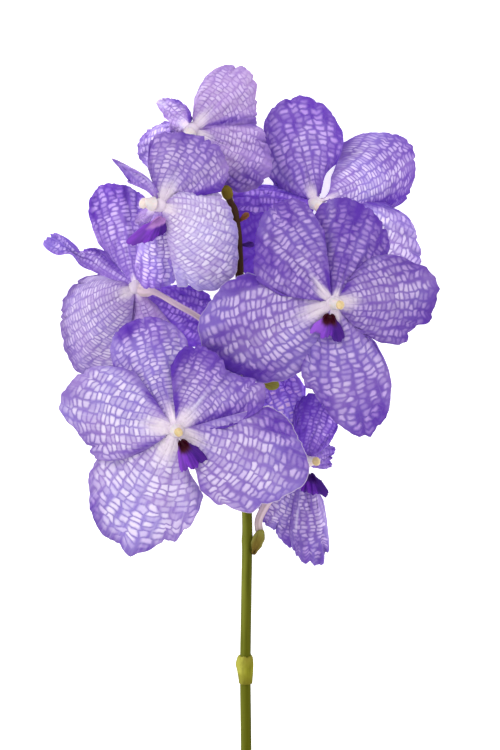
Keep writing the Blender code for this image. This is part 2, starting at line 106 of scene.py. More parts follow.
# Half thicknesses of the blades, where the claw's fades, and the lowest that their faces may lie
PETAL_HALF = 0.36
MARGIN_HALF = 0.16
CLAW_HALF = 0.7
CLAW_OUT = (7.0, 4.0)
LIP_HALF = 0.5
LIP_THINNER = 0.25
SCALE_HALF = 0.4
SCALE_THINNER = 0.2
LOWEST_MIDDLE = 0.4
LOWEST_TOP = 0.2
LOWEST_UNDER = 0.02

# The petals' margin stands out in scallops, nicks and crimps
MARGIN_OUT = 0.35
SCALLOP = 0.8
SCALLOP_ROUND = 0.6
SCALLOPS = 1.5
SCALLOPS_PER_RADIAN = 3.0
FRAY = 0.16
NICKS = 5
NICK_PLACES = (0.06, 0.94)
NICK_HALVES = (0.02, 0.035)
NICK_DEPTHS = (0.4, 1.3)
CRIMP = 0.45
SIDE_WAVE = 0.25
PUCKER = 0.9
FURROW = 0.5
FURROW_HALF = 0.07

# Shares of a blade's length where a form starts or ends, and the share in which it comes in or fades
OUTER_PART = (0.6, 0.4)
NICKED = (0.7, 0.3)
CRIMPED = (0.72, 0.28)
PUCKERED = (0.25, 0.3)
FURROW_IN = (0.0, 0.2)
FURROW_OUT = (0.8, 0.5)
KEELS_IN = (0.25, 0.3)
KEELS_OUT = (1.0, 0.2)
LIP_TIP = (0.85, 0.15)

# Sizes of the net's cells at a distance from the root, their spread past it, and the blades' shifts
CELL_LENGTH = 2.15
CELL_WIDTH = 3.9
CELL_SPREAD = 0.35
CELL_DISTANCE = 20.0
NET_SHIFT = 37.0
SEED_SHIFT = 61.0
UNDER_MAUVE = 0.6

# Meshes: rows along and columns across a blade, rings along and sides round a stalk
PETAL_ROWS, PETAL_COLUMNS = 38, 100
LIP_ROWS, LIP_COLUMNS = 34, 40
SCALE_ROWS, SCALE_COLUMNS = 16, 20
CORE_RINGS, CORE_SIDES = 13, 24
COLUMN_RINGS, COLUMN_SIDES = 22, 24
CAP_RINGS, CAP_SIDES = 14, 20
PEDICEL_STEPS, PEDICEL_SIDES = 80, 28
STEM_STEPS, STEM_SIDES = 300, 32
SEAT_STEPS = 30
SHEATH_RINGS, SHEATH_SIDES = 26, 36

# The bake map: tiles on a side, and the free margins of a tile and of a blade's face in it
PETAL_TILES = 4
BLADE_TILES = 2
CORE_TILE = 10
TILE_MARGIN = 0.004
FACE_MARGIN = 0.02

# The bloom's middle, a lobed cushion, and its painted values
CORE_TALL = 0.94
CORE_WIDE = 0.92
CORE_ROUND = 0.97
CORE_LOBES = 0.05
CORE_TINTS = {"tone": (0.2, 1.0, 0.6), "net": (0.0, 0.0, 2.0), "more": (0.0, 1.0, 1.0)}

# The lip and the bract; a place is a middle and a half width
LIP_CLAW = 1.45
LIP_CORNER = 0.12
LIP_CORNER_AT = (0.8, 0.12)
LIP_WAVE = 0.09
LIP_POUCH = 0.9
LIP_POUCH_AT = (0.16, 0.13)
LIP_TIP_DROP = 0.5
KEELS = (-0.45, 0.0, 0.45)
KEEL_HEIGHT = 0.45
KEEL_HALF = 0.14
SCALE_CLAW = 1.7
SCALE_WAVE = 0.15

# The column's radii at shares of its length, the hollow under its tip, and its cap
COLUMN_SHOWN = 0.92
COLUMN_PROFILE = ((0, 0.08, 0.35, 0.7, 0.9, 1.0), (2.5, 2.4, 2.0, 1.75, 1.5, 0.6))
COLUMN_HOLLOW = 0.9
COLUMN_HOLLOW_AT = (0.66, 0.13)
COLUMN_FLAT = 0.06
CAP_AT = 0.8
CAP_LENGTH = 3.0
CAP_BEHIND = 0.35
CAP_RADIUS = 1.6
CAP_LEAN = 0.5
CAP_BEAK = 0.22
CAP_CLEFT = 0.1

# The pedicels, and the stem's ribs, its swellings at their feet and its thicker neck
PEDICEL_FULLER = 1.15
PEDICEL_TWIST = 3.0
RIB_DEPTH = 0.09
FOOT_FLARE = 0.35
FLARE_LENGTH = 0.03
AWAY_OVARY = 0.6
OVARY_IN = (0.6, 0.35)
THICKER_IN = (0.12, 0.15)
THICKER_OUT = (0.8, 0.2)
STEM_RIBS = 0.012
STEM_WAVES = 0.008
FOOT_SWELL = 0.10
FOOT_SWELL_HALF = 2.2
NECK_THICKER = 0.35
NECK_IN = (70.0, 15.0)
NECK_OUT = (109.0, 3.0)

# The sheath's swelling at shares of its length, its bulge on the left and its torn end
SHEATH_SWELL = ((0, 0.35, 0.7, 0.92, 1.0), (-0.35, -0.05, 0.12, -0.1, -0.5))
SHEATH_RIBS = 0.02
SHEATH_WAVES = 0.015
SHEATH_BULGE = 0.55
SHEATH_BULGE_AT = (0.7, 0.2)
SHEATH_PINCH = 0.25
SHEATH_TORN = 0.55
SHEATH_TORN_FROM = (0.8, 0.2)

# The stem's middle line from its cut end to the bud scar: x, y, height and radius
STEM_LINE = (
    (3.1, CUT_END, STEM_RADIUS, STEM_RADIUS),
    (2.8, -104.0, 7.6, STEM_RADIUS),
    (2.5, -72.0, 13.4, STEM_RADIUS),
    (2.9, -42.0, 19.8, 2.05),
    (3.2, -13.0, 26.0, 2.0),
    (2.0, 2.4, 28.6, 1.9),
    (1.6, 42.8, 31.0, 1.6),
    (0.5, 75.3, 32.0, 1.4),
    (-0.3, 94.4, 33.0, RACHIS_RADIUS),
    (-1.8, 105.2, 34.2, RACHIS_RADIUS),
    (-3.5, 109.6, 35.6, 1.3),
    (-4.1, 111.4, 36.4, KNOB_RADIUS),
    (-4.7, 113.4, 37.2, KNOB_RADIUS),
    (-5.0, 114.8, 37.8, 1.2),
)

# Colours of the petals, the lips, the columns and the stalks
NET_PALE = (0.262, 0.166, 0.430)
NET_BLUE = (0.232, 0.168, 0.465)
NET_DEEP = (0.096, 0.034, 0.290)
SOLID = (0.078, 0.022, 0.285)
VEIN = (0.150, 0.105, 0.320)
CELL_PALE = (0.615, 0.545, 0.690)
CELL_DEEP = (0.320, 0.200, 0.510)
MAUVE_NET = (0.310, 0.200, 0.430)
MAUVE_CELL = (0.480, 0.375, 0.580)
CREAM = (0.640, 0.560, 0.625)
WHITE = (0.590, 0.550, 0.700)
PALEST = (0.9, 0.9, 0.92)
SPECKLED_SHADE = (0.30, 0.22, 0.48)
LIP_GROOVE = (0.035, 0.002, 0.16)
LIP_RIDGE = (0.13, 0.016, 0.38)
LIP_CLOUD = (0.02, 0.001, 0.09)
LIP_PAINTED_LIGHT = (0.24, 0.07, 0.50)
LIP_PAINTED_SHADE = (0.028, 0.002, 0.12)
COLUMN_CREAM = (0.62, 0.56, 0.56)
COLUMN_FOOT = (0.58, 0.48, 0.56)
COLUMN_TAN = (0.56, 0.50, 0.40)
CAP_HIND = (0.62, 0.53, 0.42)
STREAK = (0.55, 0.55, 0.45)
STEM_TIP = (0.17, 0.12, 0.015)
STEM_PAINTED_LIGHT = (0.20, 0.22, 0.03)
SHEATH_PAINTED_LIGHT = (0.38, 0.37, 0.06)
PAPER_DARK = (0.93, 0.93, 0.93)
PAPER_LIGHT = (0.95, 0.95, 0.95)

# The lips' throats and how strong the painted light on their left sides is, and the caps' two colours
LIPS = {
    "lip": ((0.035, 0.0, 0.008), 0.4),
    "rosy_lip": ((0.34, 0.16, 0.44), 0.4),
    "painted_bright_lip": ((0.035, 0.0, 0.008), 0.9),
    "deep_lip": ((0.03, 0.002, 0.11), 0.0),
}
CAPS = {
    "anther_cap": ((0.58, 0.46, 0.25), (0.48, 0.35, 0.17)),
    "pale_anther_cap": ((0.64, 0.55, 0.50), (0.58, 0.46, 0.44)),
}

# A stalk's or bract's colours at its foot, its middle and its end
STALKS = {
    "pedicel": ((0.50, 0.42, 0.34), (0.56, 0.42, 0.50), (0.62, 0.48, 0.54)),
    "bract": ((0.16, 0.07, 0.02), (0.27, 0.23, 0.03), (0.33, 0.33, 0.06)),
    "olive_bract": ((0.09, 0.045, 0.012), (0.15, 0.11, 0.02), (0.21, 0.20, 0.045)),
    "dry_bract": ((0.08, 0.03, 0.02), (0.22, 0.08, 0.03), (0.32, 0.14, 0.06)),
    # Painted shade: the next two bracts are darkened to the shade among the blooms
    "shade_dark_bract": ((0.03, 0.014, 0.008), (0.045, 0.018, 0.02), (0.05, 0.02, 0.04)),
    "shade_violet_bract": ((0.05, 0.018, 0.10), (0.08, 0.025, 0.24), (0.10, 0.035, 0.30)),
    "stem": ((0.064, 0.066, 0.001), (0.078, 0.082, 0.005), (0.062, 0.030, 0.016)),
    "sheath": ((0.13, 0.115, 0.01), (0.19, 0.185, 0.014), (0.19, 0.17, 0.02)),
}


@dataclass
class Fan:
    """A blade seen from above, with bearings in degrees and lengths in millimetres."""

    first: float                # bearing of one side margin
    last: float                 # bearing of the other side margin
    reach: tuple                # distance from root to margin, at even steps of bearing
    layer: float = 0.0          # height of the blade over its root
    lift: float = 0.0           # height gained at the margin
    arch: float = 0.0           # rise halfway out
    cup: float = 0.0            # rise of both side margins over the midrib
    roll: float = 0.0           # rise of the last side over the first
    sweep: float = 0.0          # degrees that the blade turns from root to margin
    claw: float = 0.7           # share of the fan's angle that is left at the root
    ruffle: float = 1.6         # height of the waves along the margin
    waves: float = 5.0          # half waves along the margin
    phase: float = 0.0
    ears: float = 0.0           # rise of the side lobes near the root
    root: tuple = (0.0, 0.0, 0.0)


@dataclass
class Coat:
    """The colours and the fine forms of one tepal.

    A spot is a place across and a share along the blade, its two half widths and its strength.
    """

    deep: float = 0.4           # from pale lavender to deep violet
    mauve: float = 0.0          # lean to mauve, with a fainter net
    white: float = 0.0          # bleaching of the whole blade
    heart: float = 12.0         # length of the pale claw
    rim: float = 0.0            # painted highlight: a pale line along the margin
    cell: float = 1.0           # size of the net's cells
    light: float = 1.0          # painted light: paleness for a thin tepal that lies in the shade
    deeper_and_shaded: tuple = ()          # spots of deeper violet, some of them painted shade at folds and under overlapping tepals
    paler_and_highlit: tuple = ()           # pale spots: the tepal's own pale streaks, and painted highlight on some ridges
    folds: tuple = ()           # spots that rise or sink, in millimetres
    edges: tuple = ()           # bulges of the margin: across, half width, millimetres
    waists: tuple = ()          # narrow places: shift across, share of the length, half length, strength
    notches: tuple = ()         # the same on one side margin: 0 or 1, and the last three


@dataclass
class Bloom:
    """One flower: its middle, its tepals from back to front, its lip, its axes and its stalk."""

    middle: tuple
    tepals: tuple
    lip: Fan
    front: tuple
    back: tuple
    route: tuple
    leaves_at: float
    bract: Fan
    slope: tuple = (0.0, 0.0)
    size: float = 1.0
    trim: tuple = (0.0, 0.1, 0.0)       # where the lip is cut back: across, half width, share
    column: tuple = (1.0, 1.0, 0.0)     # its share of length and of girth, and its cap's set-back
    thicker: float = 0.0        # girth added along the pedicel
    away: bool = False          # the bloom shows its back to the sky
    finish: tuple = ("lip", "anther_cap", "bract")      # materials of its lip, cap and bract


# The fans of the solids, but for bloom 5's narrow tepal and bloom 7's bract, which are fuller here
BLOOMS = (
    Bloom(
        middle=(-23.5, 22.1, 59.0),
        tepals=(
            Fan(77, 137, (29, 36.8, 41.8, 44.4, 44, 41.2, 33), layer=-2.2, lift=-6, cup=-2,
                roll=-1.5, waves=6, phase=0.5),
            Fan(197, 292, (30, 36.8, 41, 45.5, 48.6, 49.5, 48.3, 43.4, 39.2, 34, 27), layer=-1.4,
                lift=-5, arch=1, cup=-1, waves=7, phase=1.2),
            Fan(2, 95, (18, 30.5, 36, 36.2, 31.8, 29.6, 31.4, 32.7, 32.4, 30.2, 24), layer=-0.4,
                lift=4, arch=1, cup=-2, roll=-1, waves=6, phase=2.0),
            Fan(125, 214, (26, 33, 38.8, 42.8, 43.6, 44.8, 40, 34.8, 33.3, 28, 16), layer=1.0,
                lift=-3, arch=2, cup=-1.5, waves=7, phase=0.2),
            Fan(-69, 15, (24, 33, 39.5, 43.3, 47.6, 52, 50.8, 46, 42, 36), layer=1.6, lift=-1,
                arch=2, cup=-1, waves=6, phase=0.8),
        ),
        lip=Fan(-98, -26, (5.5, 11.5, 12, 12.2, 12.3, 11.8, 7.5), lift=2.6, arch=1.0, cup=-0.8,
                ruffle=0.3, ears=1.8, root=(1.5, -3.2, 2.9)),
        front=(0.1, -0.05, 0.99), back=(0.35, -0.3, -0.88), leaves_at=2.0,
        route=((-7.9, 8.0, 36.0), (-17.4, 16.5, 46.0)),
        bract=Fan(120, 168, (4.0, 6.0, 7.0, 5.5, 4.0), lift=1.5, ruffle=0.2),
        slope=(0.10, 0.04),
    ),
    Bloom(
        middle=(35.5, 69.8, 60.0),
        tepals=(
            Fan(36, 104, (24, 31, 34.5, 37.2, 39.5, 39.8, 38.4, 33), layer=-2.0, lift=-5, cup=-1,
                waves=6, phase=0.4),
            Fan(240, 318, (24, 31, 34.4, 39.5, 47.2, 51.2, 49, 42.8, 34, 22), layer=-1.6, lift=-4,
                arch=2, cup=-2, waves=6, phase=1.4),
            Fan(160, 247, (33, 40, 46.5, 51, 51.3, 48.6, 44.5, 40, 34.5, 27), layer=-0.2, lift=-7,
                arch=2, cup=-1, waves=6, phase=0.6),
            Fan(-48, 55, (16, 24, 31, 32.3, 38.2, 39, 40, 35, 30.8, 26, 18), layer=0.6, lift=-2,
                arch=1, cup=-2, waves=7, phase=2.2),
            Fan(97, 172, (27, 39.4, 42.7, 42.7, 40, 36.2, 33, 30, 20), layer=1.8, lift=-1, arch=2,
                cup=-2, waves=6, phase=1.0),
        ),
        lip=Fan(215, 310, (7.5, 10.6, 11.3, 11.2, 9.3, 10.9, 10.9, 6), lift=2.4, arch=1.0,
                cup=-0.8, ruffle=0.3, ears=1.8, root=(-1.1, -3.6, 1.0)),
        front=(0.26, -0.06, 0.96), back=(-0.4, -0.3, -0.87), leaves_at=46.0,
        route=((13.1, 51.5, 37.0), (28.6, 63.5, 47.0)),
        bract=Fan(-34, -6, (10.2, 12.4, 12.6, 10.4), lift=4.0, arch=1.0, ruffle=0.2),
        slope=(-0.10, 0.05),
        trim=(0.3, 0.2, 0.2),
        finish=("painted_bright_lip", "anther_cap", "bract"),
    ),
    Bloom(
        middle=(-29.8, 107.1, 50.0),
        tepals=(
            Fan(240, 296, (16, 27, 31.5, 31, 29.8, 27, 20), layer=-1.2, lift=-9, arch=1,
                waves=5, phase=0.4),
            Fan(190, 236, (8, 10.5, 11, 10, 7.5), layer=-2.0, lift=-17, cup=-2, waves=3),
            Fan(12, 108, (21, 28.2, 30, 30.9, 30.7, 29.2, 27.8, 27.2, 25, 14), layer=0.4, lift=2,
                arch=3, cup=-2, waves=6, phase=1.1),
            Fan(122, 150, (15.5, 20.5, 24, 20.5, 15), layer=0.2, lift=-4, arch=2, roll=-7,
                sweep=28, claw=0.9, ruffle=0.8, waves=4),
            Fan(-78, 34, (31, 34.2, 38, 38.2, 36.5, 33, 30.3, 27.5, 24.8, 21.5, 17, 12), layer=1.4,
                lift=-2, arch=5, cup=-4, waves=6, phase=0.3),
        ),
        lip=Fan(206, 285, (9, 15.8, 14.6, 11.5, 9, 7.5, 6.3, 5), lift=4.0, arch=1.2, cup=-1.0,
                ruffle=0.3, ears=1.2, root=(1.4, -4.2, 2.8)),
        front=(-0.8, 0.1, 0.6), back=(0.7, -0.4, -0.6), leaves_at=76.0,
        route=((-8.9, 84.0, 34.0), (-18.9, 98.0, 40.0)),
        bract=Fan(178, 222, (3.5, 5.2, 5.8, 5.0, 3.5), lift=1.0, ruffle=0.2),
        column=(0.76, 1.2, 0.75),
        finish=("rosy_lip", "pale_anther_cap", "shade_dark_bract"),
    ),
    Bloom(
        middle=(-39.8, 76.5, 24.0),
        tepals=(
            Fan(-48, 4, (30, 35, 33.8, 32, 30, 27, 19), layer=-2.0, lift=-6, arch=-1, waves=5),
            Fan(-100, -40, (22, 27, 30, 33, 34.5, 32.5, 20), layer=-0.6, lift=-9, arch=1, cup=-2,
                claw=0.95, waves=5, phase=1.0),
            Fan(76, 130, (25, 33.5, 37.2, 39.3, 40.6, 38.7, 33, 22), layer=-0.4, lift=3, arch=-1,
                cup=-2, waves=5, phase=0.6),
            Fan(131, 161, (17, 22.5, 25, 36.5, 38.3, 37, 26), layer=-0.6, lift=4, arch=-2,
                roll=4, claw=0.9, ruffle=1.0, waves=5),
            Fan(158, 263, (15, 21.5, 25.5, 28.8, 31.4, 33.6, 36.4, 38.8, 38, 34.5, 27), layer=0.6,
                lift=-28, arch=6, cup=-2, claw=0.95, waves=6, phase=0.9),
        ),
        lip=Fan(222, 284, (7, 11, 11.5, 12, 11, 7), lift=-3.0, arch=-1.0, cup=1.5, ruffle=0.3,
                root=(-1.5, -2.4, -3.2)),
        front=(-0.5, 0.1, -0.86), back=(0.76, -0.2, 0.62), leaves_at=53.5,
        route=((-13.4, 63.4, 33.5), (-24.9, 70.4, 33.5)),
        bract=Fan(150, 196, (3.5, 5.2, 5.8, 5.0, 3.5), lift=2.0, ruffle=0.2),
        size=1.02,
        away=True,
        finish=("lip", "anther_cap", "shade_dark_bract"),
    ),
    Bloom(
        middle=(-17.9, 136.6, 34.0),
        tepals=(
            Fan(-125, -68, (17, 22, 25, 25, 24, 20, 15), layer=-1.6, lift=-3, arch=1, waves=5),
            Fan(158, 240, (11, 15, 19, 21, 22.4, 22, 19.3, 14.3), layer=-0.8, lift=-10, cup=-2,
                waves=5, phase=1.2),
            Fan(6, 86, (24, 25.4, 26.8, 29.8, 31.2, 29.9, 26.5, 21.3, 13), layer=-0.4, lift=-5,
                arch=5, cup=-3, waves=5, phase=0.7),
            Fan(95, 195, (6, 10, 12.6, 14.6, 16.6, 13.2, 9, 8.2, 8, 8.4), layer=0.2, lift=4,
                waves=6),
            Fan(-62, 10, (24, 29, 32, 33.8, 33.4, 31, 28.3, 26, 17), layer=1.0, lift=-3, arch=4,
                cup=-3, waves=5, phase=1.4),
        ),
        lip=Fan(200, 262, (6, 10.5, 12, 11.5, 11, 6), lift=2.0, arch=0.8, cup=-0.8, ruffle=0.3,
                ears=1.0, root=(-2.0, -3.4, 0.5)),
        front=(-0.25, -0.45, 0.86), back=(0.3, -0.25, -0.92), leaves_at=105.0,
        route=((-3.9, 112.0, 27.0), (-11.9, 128.0, 25.0)),
        bract=Fan(20, 66, (3.0, 4.4, 4.8, 4.2, 3.0), lift=0.5, ruffle=0.2),
        size=1.01,
        finish=("lip", "anther_cap", "dry_bract"),
    ),
    Bloom(
        middle=(29.5, 109.3, 18.0),
        tepals=(
            Fan(-62, 2, (30, 40, 44.8, 47.2, 45, 40.2, 35.6, 27), layer=-1.6, lift=-11, arch=2,
                cup=-2, waves=6),
            Fan(186, 258, (29, 34, 36, 37.5, 38, 34, 24), layer=-1.2, lift=-7, arch=1, waves=5,
                phase=0.8),
            Fan(152, 200, (14, 22.5, 29.7, 30.6, 29.5, 25), layer=0.0, lift=-6, arch=1, cup=-2,
                waves=4, phase=1.6),
            Fan(-4, 66, (29.2, 36, 39, 41.8, 42.4, 41.2, 37.4, 32, 26), layer=0.6, lift=-33, arch=3,
                sweep=12, claw=0.2, waves=6, phase=0.5),
            Fan(58, 156, (17, 27.8, 33.5, 38, 40.5, 40.6, 38.3, 33, 24, 21.5, 17), layer=1.4,
                lift=-6, arch=2, cup=-1, waves=6, phase=1.3),
        ),
        lip=Fan(-115, -55, (6, 10.5, 11.5, 11.5, 11, 6), lift=0.5, arch=1.2, cup=-1.8,
                ruffle=0.3, ears=1.5, root=(0.6, -3.6, 0.2)),
        front=(0.1, -0.2, 0.97), back=(-0.25, 0.0, -0.97), leaves_at=96.0,
        route=((-6.4, 98.5, 26.0), (-5.9, 101.0, 12.0), (5.1, 104.5, 5.5), (20.1, 108.0, 6.5)),
        bract=Fan(-20, 26, (3.0, 4.4, 4.8, 4.2, 3.0), lift=1.5, ruffle=0.2),
        size=1.02,
        finish=("lip", "pale_anther_cap", "shade_violet_bract"),
    ),
    Bloom(
        middle=(24.7, 9.2, 26.0),
        tepals=(
            Fan(88, 134, (28, 34, 34.8, 34, 31.5, 25.5, 17), layer=-1.4, lift=2, arch=1,
                waves=5),
            Fan(215, 272, (17, 22.6, 26.8, 29, 31, 32.4, 27), layer=-1.4, lift=-12, arch=1,
                waves=5, phase=0.8),
            Fan(-104, -62, (23, 32, 37, 39.2, 38.6, 26, 17), layer=-0.2, lift=-9, arch=2, cup=-2,
                waves=6, phase=0.4),
            Fan(-22, 38, (7, 10.8, 10.3, 12.2, 12.9, 10.5), layer=0.2, lift=-7, ruffle=1.6,
                waves=6),
            Fan(34, 106, (11, 17.7, 22.2, 24.8, 26.6, 25.7, 22.5, 15), layer=1.2, lift=4, arch=2,
                cup=-3, waves=6, phase=1.1),
        ),
        lip=Fan(-122, -36, (6, 7.6, 8.2, 8.9, 11, 6), lift=2.5, arch=0.8, cup=-1.2, ruffle=0.3,
                ears=1.2, root=(2.4, -3.8, 1.15)),
        front=(0.5, 0.08, 0.86), back=(-0.92, -0.15, -0.36), leaves_at=-21.0,
        route=((7.7, -13.0, 25.2), (13.6, -1.5, 26.0)),
        bract=Fan(46, 100, (4.6, 8.0, 10.4, 9.8, 7.6, 4.8), layer=2.6, ruffle=0.2,
                  root=(0.2, -2.2, 0.4)),
        size=1.02,
        thicker=0.45,
        finish=("deep_lip", "anther_cap", "olive_bract"),
    ),
)

# Each bloom's tepals, in the same order
COATS = (
    (
        Coat(deep=0.3, cell=0.75, heart=11.0, light=1.1,
             deeper_and_shaded=((0.66, 0.95, 0.12, 0.07, 1.1), (0.9, 0.36, 0.08, 0.2, 0.6)),
             folds=((0.45, 0.6, 0.1, 0.5, 0.8),)),
        Coat(deep=-0.05, cell=1.0, white=0.22, heart=13.0, light=1.03,
             deeper_and_shaded=((0.45, 1.0, 0.25, 0.08, 1.0),),
             folds=((0.3, 0.7, 0.08, 0.5, -0.8), (0.62, 0.7, 0.07, 0.4, 0.9)),
             edges=((0.46, 0.025, -1.1), (0.55, 0.03, 1.5), (0.68, 0.05, -0.9), (0.76, 0.02, 1.3),
                    (0.9, 0.03, -0.9)), notches=((1, 0.3, 0.12, 0.1),)),
        Coat(deep=0.55, cell=0.75, mauve=0.3, heart=12.0,
             deeper_and_shaded=((0.9, 0.92, 0.1, 0.12, 1.0), (0.14, 0.55, 0.12, 0.4, 0.9),
                     (0.95, 0.28, 0.06, 0.16, 1.0)), paler_and_highlit=((0.52, 0.5, 0.03, 0.3, 0.35),),
             folds=((0.52, 0.6, 0.04, 0.4, 1.0), (0.8, 0.7, 0.08, 0.4, -1.2))),
        Coat(deep=0.05, cell=0.85, white=0.15, heart=12.0,
             deeper_and_shaded=((0.02, 0.5, 0.06, 0.22, 1.2), (0.93, 0.5, 0.07, 0.35, 0.9)),
             folds=((0.35, 0.75, 0.08, 0.4, 0.8), (0.65, 0.8, 0.07, 0.4, -0.8)),
             edges=((0.42, 0.04, 1.4), (0.62, 0.04, -1.2), (0.75, 0.02, -0.8))),
        Coat(deep=0.25, cell=0.92, white=0.1, heart=12.0, rim=0.8,
             deeper_and_shaded=((0.9, 0.9, 0.2, 0.2, 0.5),),
             folds=((0.4, 0.7, 0.1, 0.5, -0.8), (0.75, 0.8, 0.07, 0.4, 0.8)),
             edges=((0.15, 0.03, -1.8), (0.25, 0.04, 1.0)), notches=((0, 0.28, 0.12, 0.13),)),
    ),
    (
        Coat(deep=0.85, cell=0.85, heart=6.0,
             deeper_and_shaded=((0.02, 0.3, 0.1, 0.2, 0.6), (0.96, 0.2, 0.1, 0.2, 0.9))),
        Coat(deep=0.55, cell=0.95, heart=9.0, folds=((0.5, 0.7, 0.08, 0.5, 0.8),),
             edges=((0.59, 0.015, 1.4),)),
        Coat(deep=0.42, cell=0.92, heart=15.0, rim=0.4, light=0.96,
             deeper_and_shaded=((0.62, 0.95, 0.12, 0.06, 1.4), (0.03, 0.85, 0.08, 0.14, 1.3)),
             folds=((0.5, 0.7, 0.08, 0.5, -0.8), (0.75, 0.7, 0.07, 0.4, 0.8)),
             edges=((0.07, 0.08, 1.5),)),
        Coat(deep=0.6, cell=0.8, heart=10.0, light=0.92, deeper_and_shaded=((0.96, 0.25, 0.06, 0.15, 1.0),),
             folds=((0.5, 0.8, 0.07, 0.4, 0.9), (0.3, 0.8, 0.06, 0.4, -0.8)),
             edges=((0.15, 0.02, 0.9), (0.25, 0.03, -0.9), (0.35, 0.02, 1.4), (0.43, 0.03, -0.9),
                    (0.54, 0.015, 1.0), (0.68, 0.03, 1.0))),
        Coat(deep=0.68, cell=0.85, heart=10.0, light=0.96, deeper_and_shaded=((0.04, 0.2, 0.06, 0.15, 1.0),),
             paler_and_highlit=((0.41, 0.25, 0.04, 0.25, 0.35),), folds=((0.41, 0.5, 0.06, 0.5, 0.9),)),
    ),
    (
        Coat(deep=0.25, cell=0.7, heart=3.0, light=1.45, deeper_and_shaded=((0.97, 0.3, 0.05, 0.35, 1.2),)),
        Coat(deep=0.2, cell=0.7, mauve=0.8, heart=5.0, light=1.3),
        Coat(deep=0.4, cell=0.75, mauve=0.5, heart=12.0, deeper_and_shaded=((0.03, 0.6, 0.07, 0.5, 1.0),),
             folds=((0.2, 0.6, 0.07, 0.5, -1.2),), edges=((0, 0.05, 2.2),)),
        Coat(deep=0.5, cell=0.7, mauve=0.4, heart=4.0, light=1.2,
             paler_and_highlit=((0.3, 0.6, 0.3, 0.4, 0.5),), edges=((0.5, 0.12, 1.5),),
             waists=((0, 0.92, 0.38, 0.8),)),
        Coat(deep=-0.15, cell=0.72, white=0.3, heart=6.0, rim=0.4, light=1.02,
             paler_and_highlit=((0.45, 0.4, 0.3, 0.3, 0.15),), folds=((0.3, 0.8, 0.06, 0.4, 0.8),),
             edges=((0.32, 0.05, 0.9),)),
    ),
    (
        Coat(deep=0.95, cell=0.75, heart=0.0, light=1.9),
        Coat(deep=0.1, cell=0.75, mauve=0.9, heart=5.0, light=1.25),
        Coat(deep=0.6, cell=0.75, heart=5.0, light=1.5),
        Coat(deep=0.45, cell=0.65, heart=0.0, light=1.45, deeper_and_shaded=((0.2, 0.5, 0.2, 0.3, 0.6),),
             folds=((0.5, 0.7, 0.2, 0.3, 1.5),), edges=((0.4, 0.04, -2.5), (0.62, 0.05, -1.0)),
             waists=((0.1, 0.69, 0.1, 0.72), (-0.06, 0.45, 0.14, 0))),
        Coat(deep=0.1, cell=0.75, mauve=0.3, white=0.18, heart=7.0, light=0.98),
    ),
    (
        Coat(deep=0.6, cell=0.7, heart=0.0, light=1.3),
        Coat(deep=0.2, cell=0.65, mauve=0.3, heart=6.0, light=1.35, edges=((0.15, 0.15, -1.2),)),
        Coat(deep=-0.1, cell=0.7, mauve=1.0, heart=10.0, light=1.08,
             deeper_and_shaded=((0.1, 0.45, 0.07, 0.4, 1.0),), folds=((0.35, 0.6, 0.1, 0.4, 1.0),)),
        Coat(deep=0.0, cell=0.6, mauve=0.5, white=0.15, heart=6.0, light=1.5,
             deeper_and_shaded=((0.03, 0.5, 0.08, 0.3, 1.3), (0.22, 0.95, 0.1, 0.2, 0.9)),
             paler_and_highlit=((0.44, 0.92, 0.06, 0.2, 0.4),), folds=((0.32, 0.8, 0.07, 0.4, 1.0),),
             edges=((0.14, 0.035, -1.0), (0.5, 0.03, 0.8))),
        Coat(deep=0.15, cell=0.7, mauve=0.9, heart=9.0, light=1.1,
             deeper_and_shaded=((0.2, 0.85, 0.3, 0.2, 0.8),), edges=((0.96, 0.05, 3.5),)),
    ),
    (
        Coat(deep=0.12, cell=0.8, white=0.16, heart=6.0, light=1.2,
             deeper_and_shaded=((0.98, 0.8, 0.07, 0.3, 1.3),)),
        Coat(deep=1.5, cell=0.8, heart=0.0, light=1.9),
        Coat(deep=1.05, cell=0.75, heart=0.0, rim=0.4, light=1.85, edges=((0.45, 0.2, 2.2),)),
        Coat(deep=0.35, cell=0.75, heart=10.0, light=1.22, deeper_and_shaded=((0.1, 0.65, 0.12, 0.3, 1.5),),
             edges=((0.55, 0.1, 1.4),)),
        Coat(deep=0.75, cell=0.9, heart=8.0, light=1.2,
             folds=((0.35, 0.7, 0.07, 0.5, 0.8), (0.65, 0.7, 0.07, 0.5, -0.8)),
             edges=((0.4, 0.3, 0.5),), notches=((0, 0.24, 0.16, 0.25),)),
    ),
    (
        Coat(deep=0.68, cell=0.7, heart=0.0, light=2.15),
        Coat(deep=0.45, cell=0.75, heart=4.0, light=1.14, deeper_and_shaded=((0.86, 0.97, 0.1, 0.1, 0.8),),
             edges=((0.58, 0.12, -1.6),)),
        Coat(deep=0.47, cell=0.7, heart=4.0, light=1.08, paler_and_highlit=((0.2, 0.6, 0.03, 0.25, 0.55),),
             folds=((0.2, 0.7, 0.07, 0.4, 1.2),), edges=((0.66, 0.04, -3.0), (0.3, 0.12, 1.0))),
        Coat(deep=0.7, cell=0.65, mauve=0.2, heart=2.0, light=1.3),
        Coat(deep=0.9, cell=0.62, heart=2.0, light=1.5, deeper_and_shaded=((0.8, 0.5, 0.25, 0.5, 0.5),),
             edges=((0.4, 0.04, -1.2),)),
    ),
)


def smooth(value):
    """Ease from 0 to 1, flat at both ends."""
    value = np.clip(value, 0.0, 1.0)
    return value * value * (3.0 - 2.0 * value)


def rise(value, start, length):
    """Ease from 0 at a start to 1 a length past it."""
    return smooth((value - start) / length)


def fade(value, end, length):
    """Ease from 1 a length before an end to 0 at it."""
    return smooth((end - value) / length)


def bell(value, middle, half):
    """A soft bump of height 1 round a middle value."""
    return np.exp(-((value - middle) / half) ** 2)


def spot(across, along, mark):
    """A soft spot on a blade: its place across and along, its half widths and its strength."""
    at_across, at_along, half_across, half_along, strength = mark
    return strength * np.exp(-((across - at_across) / half_across) ** 2
                             - ((along - at_along) / half_along) ** 2)


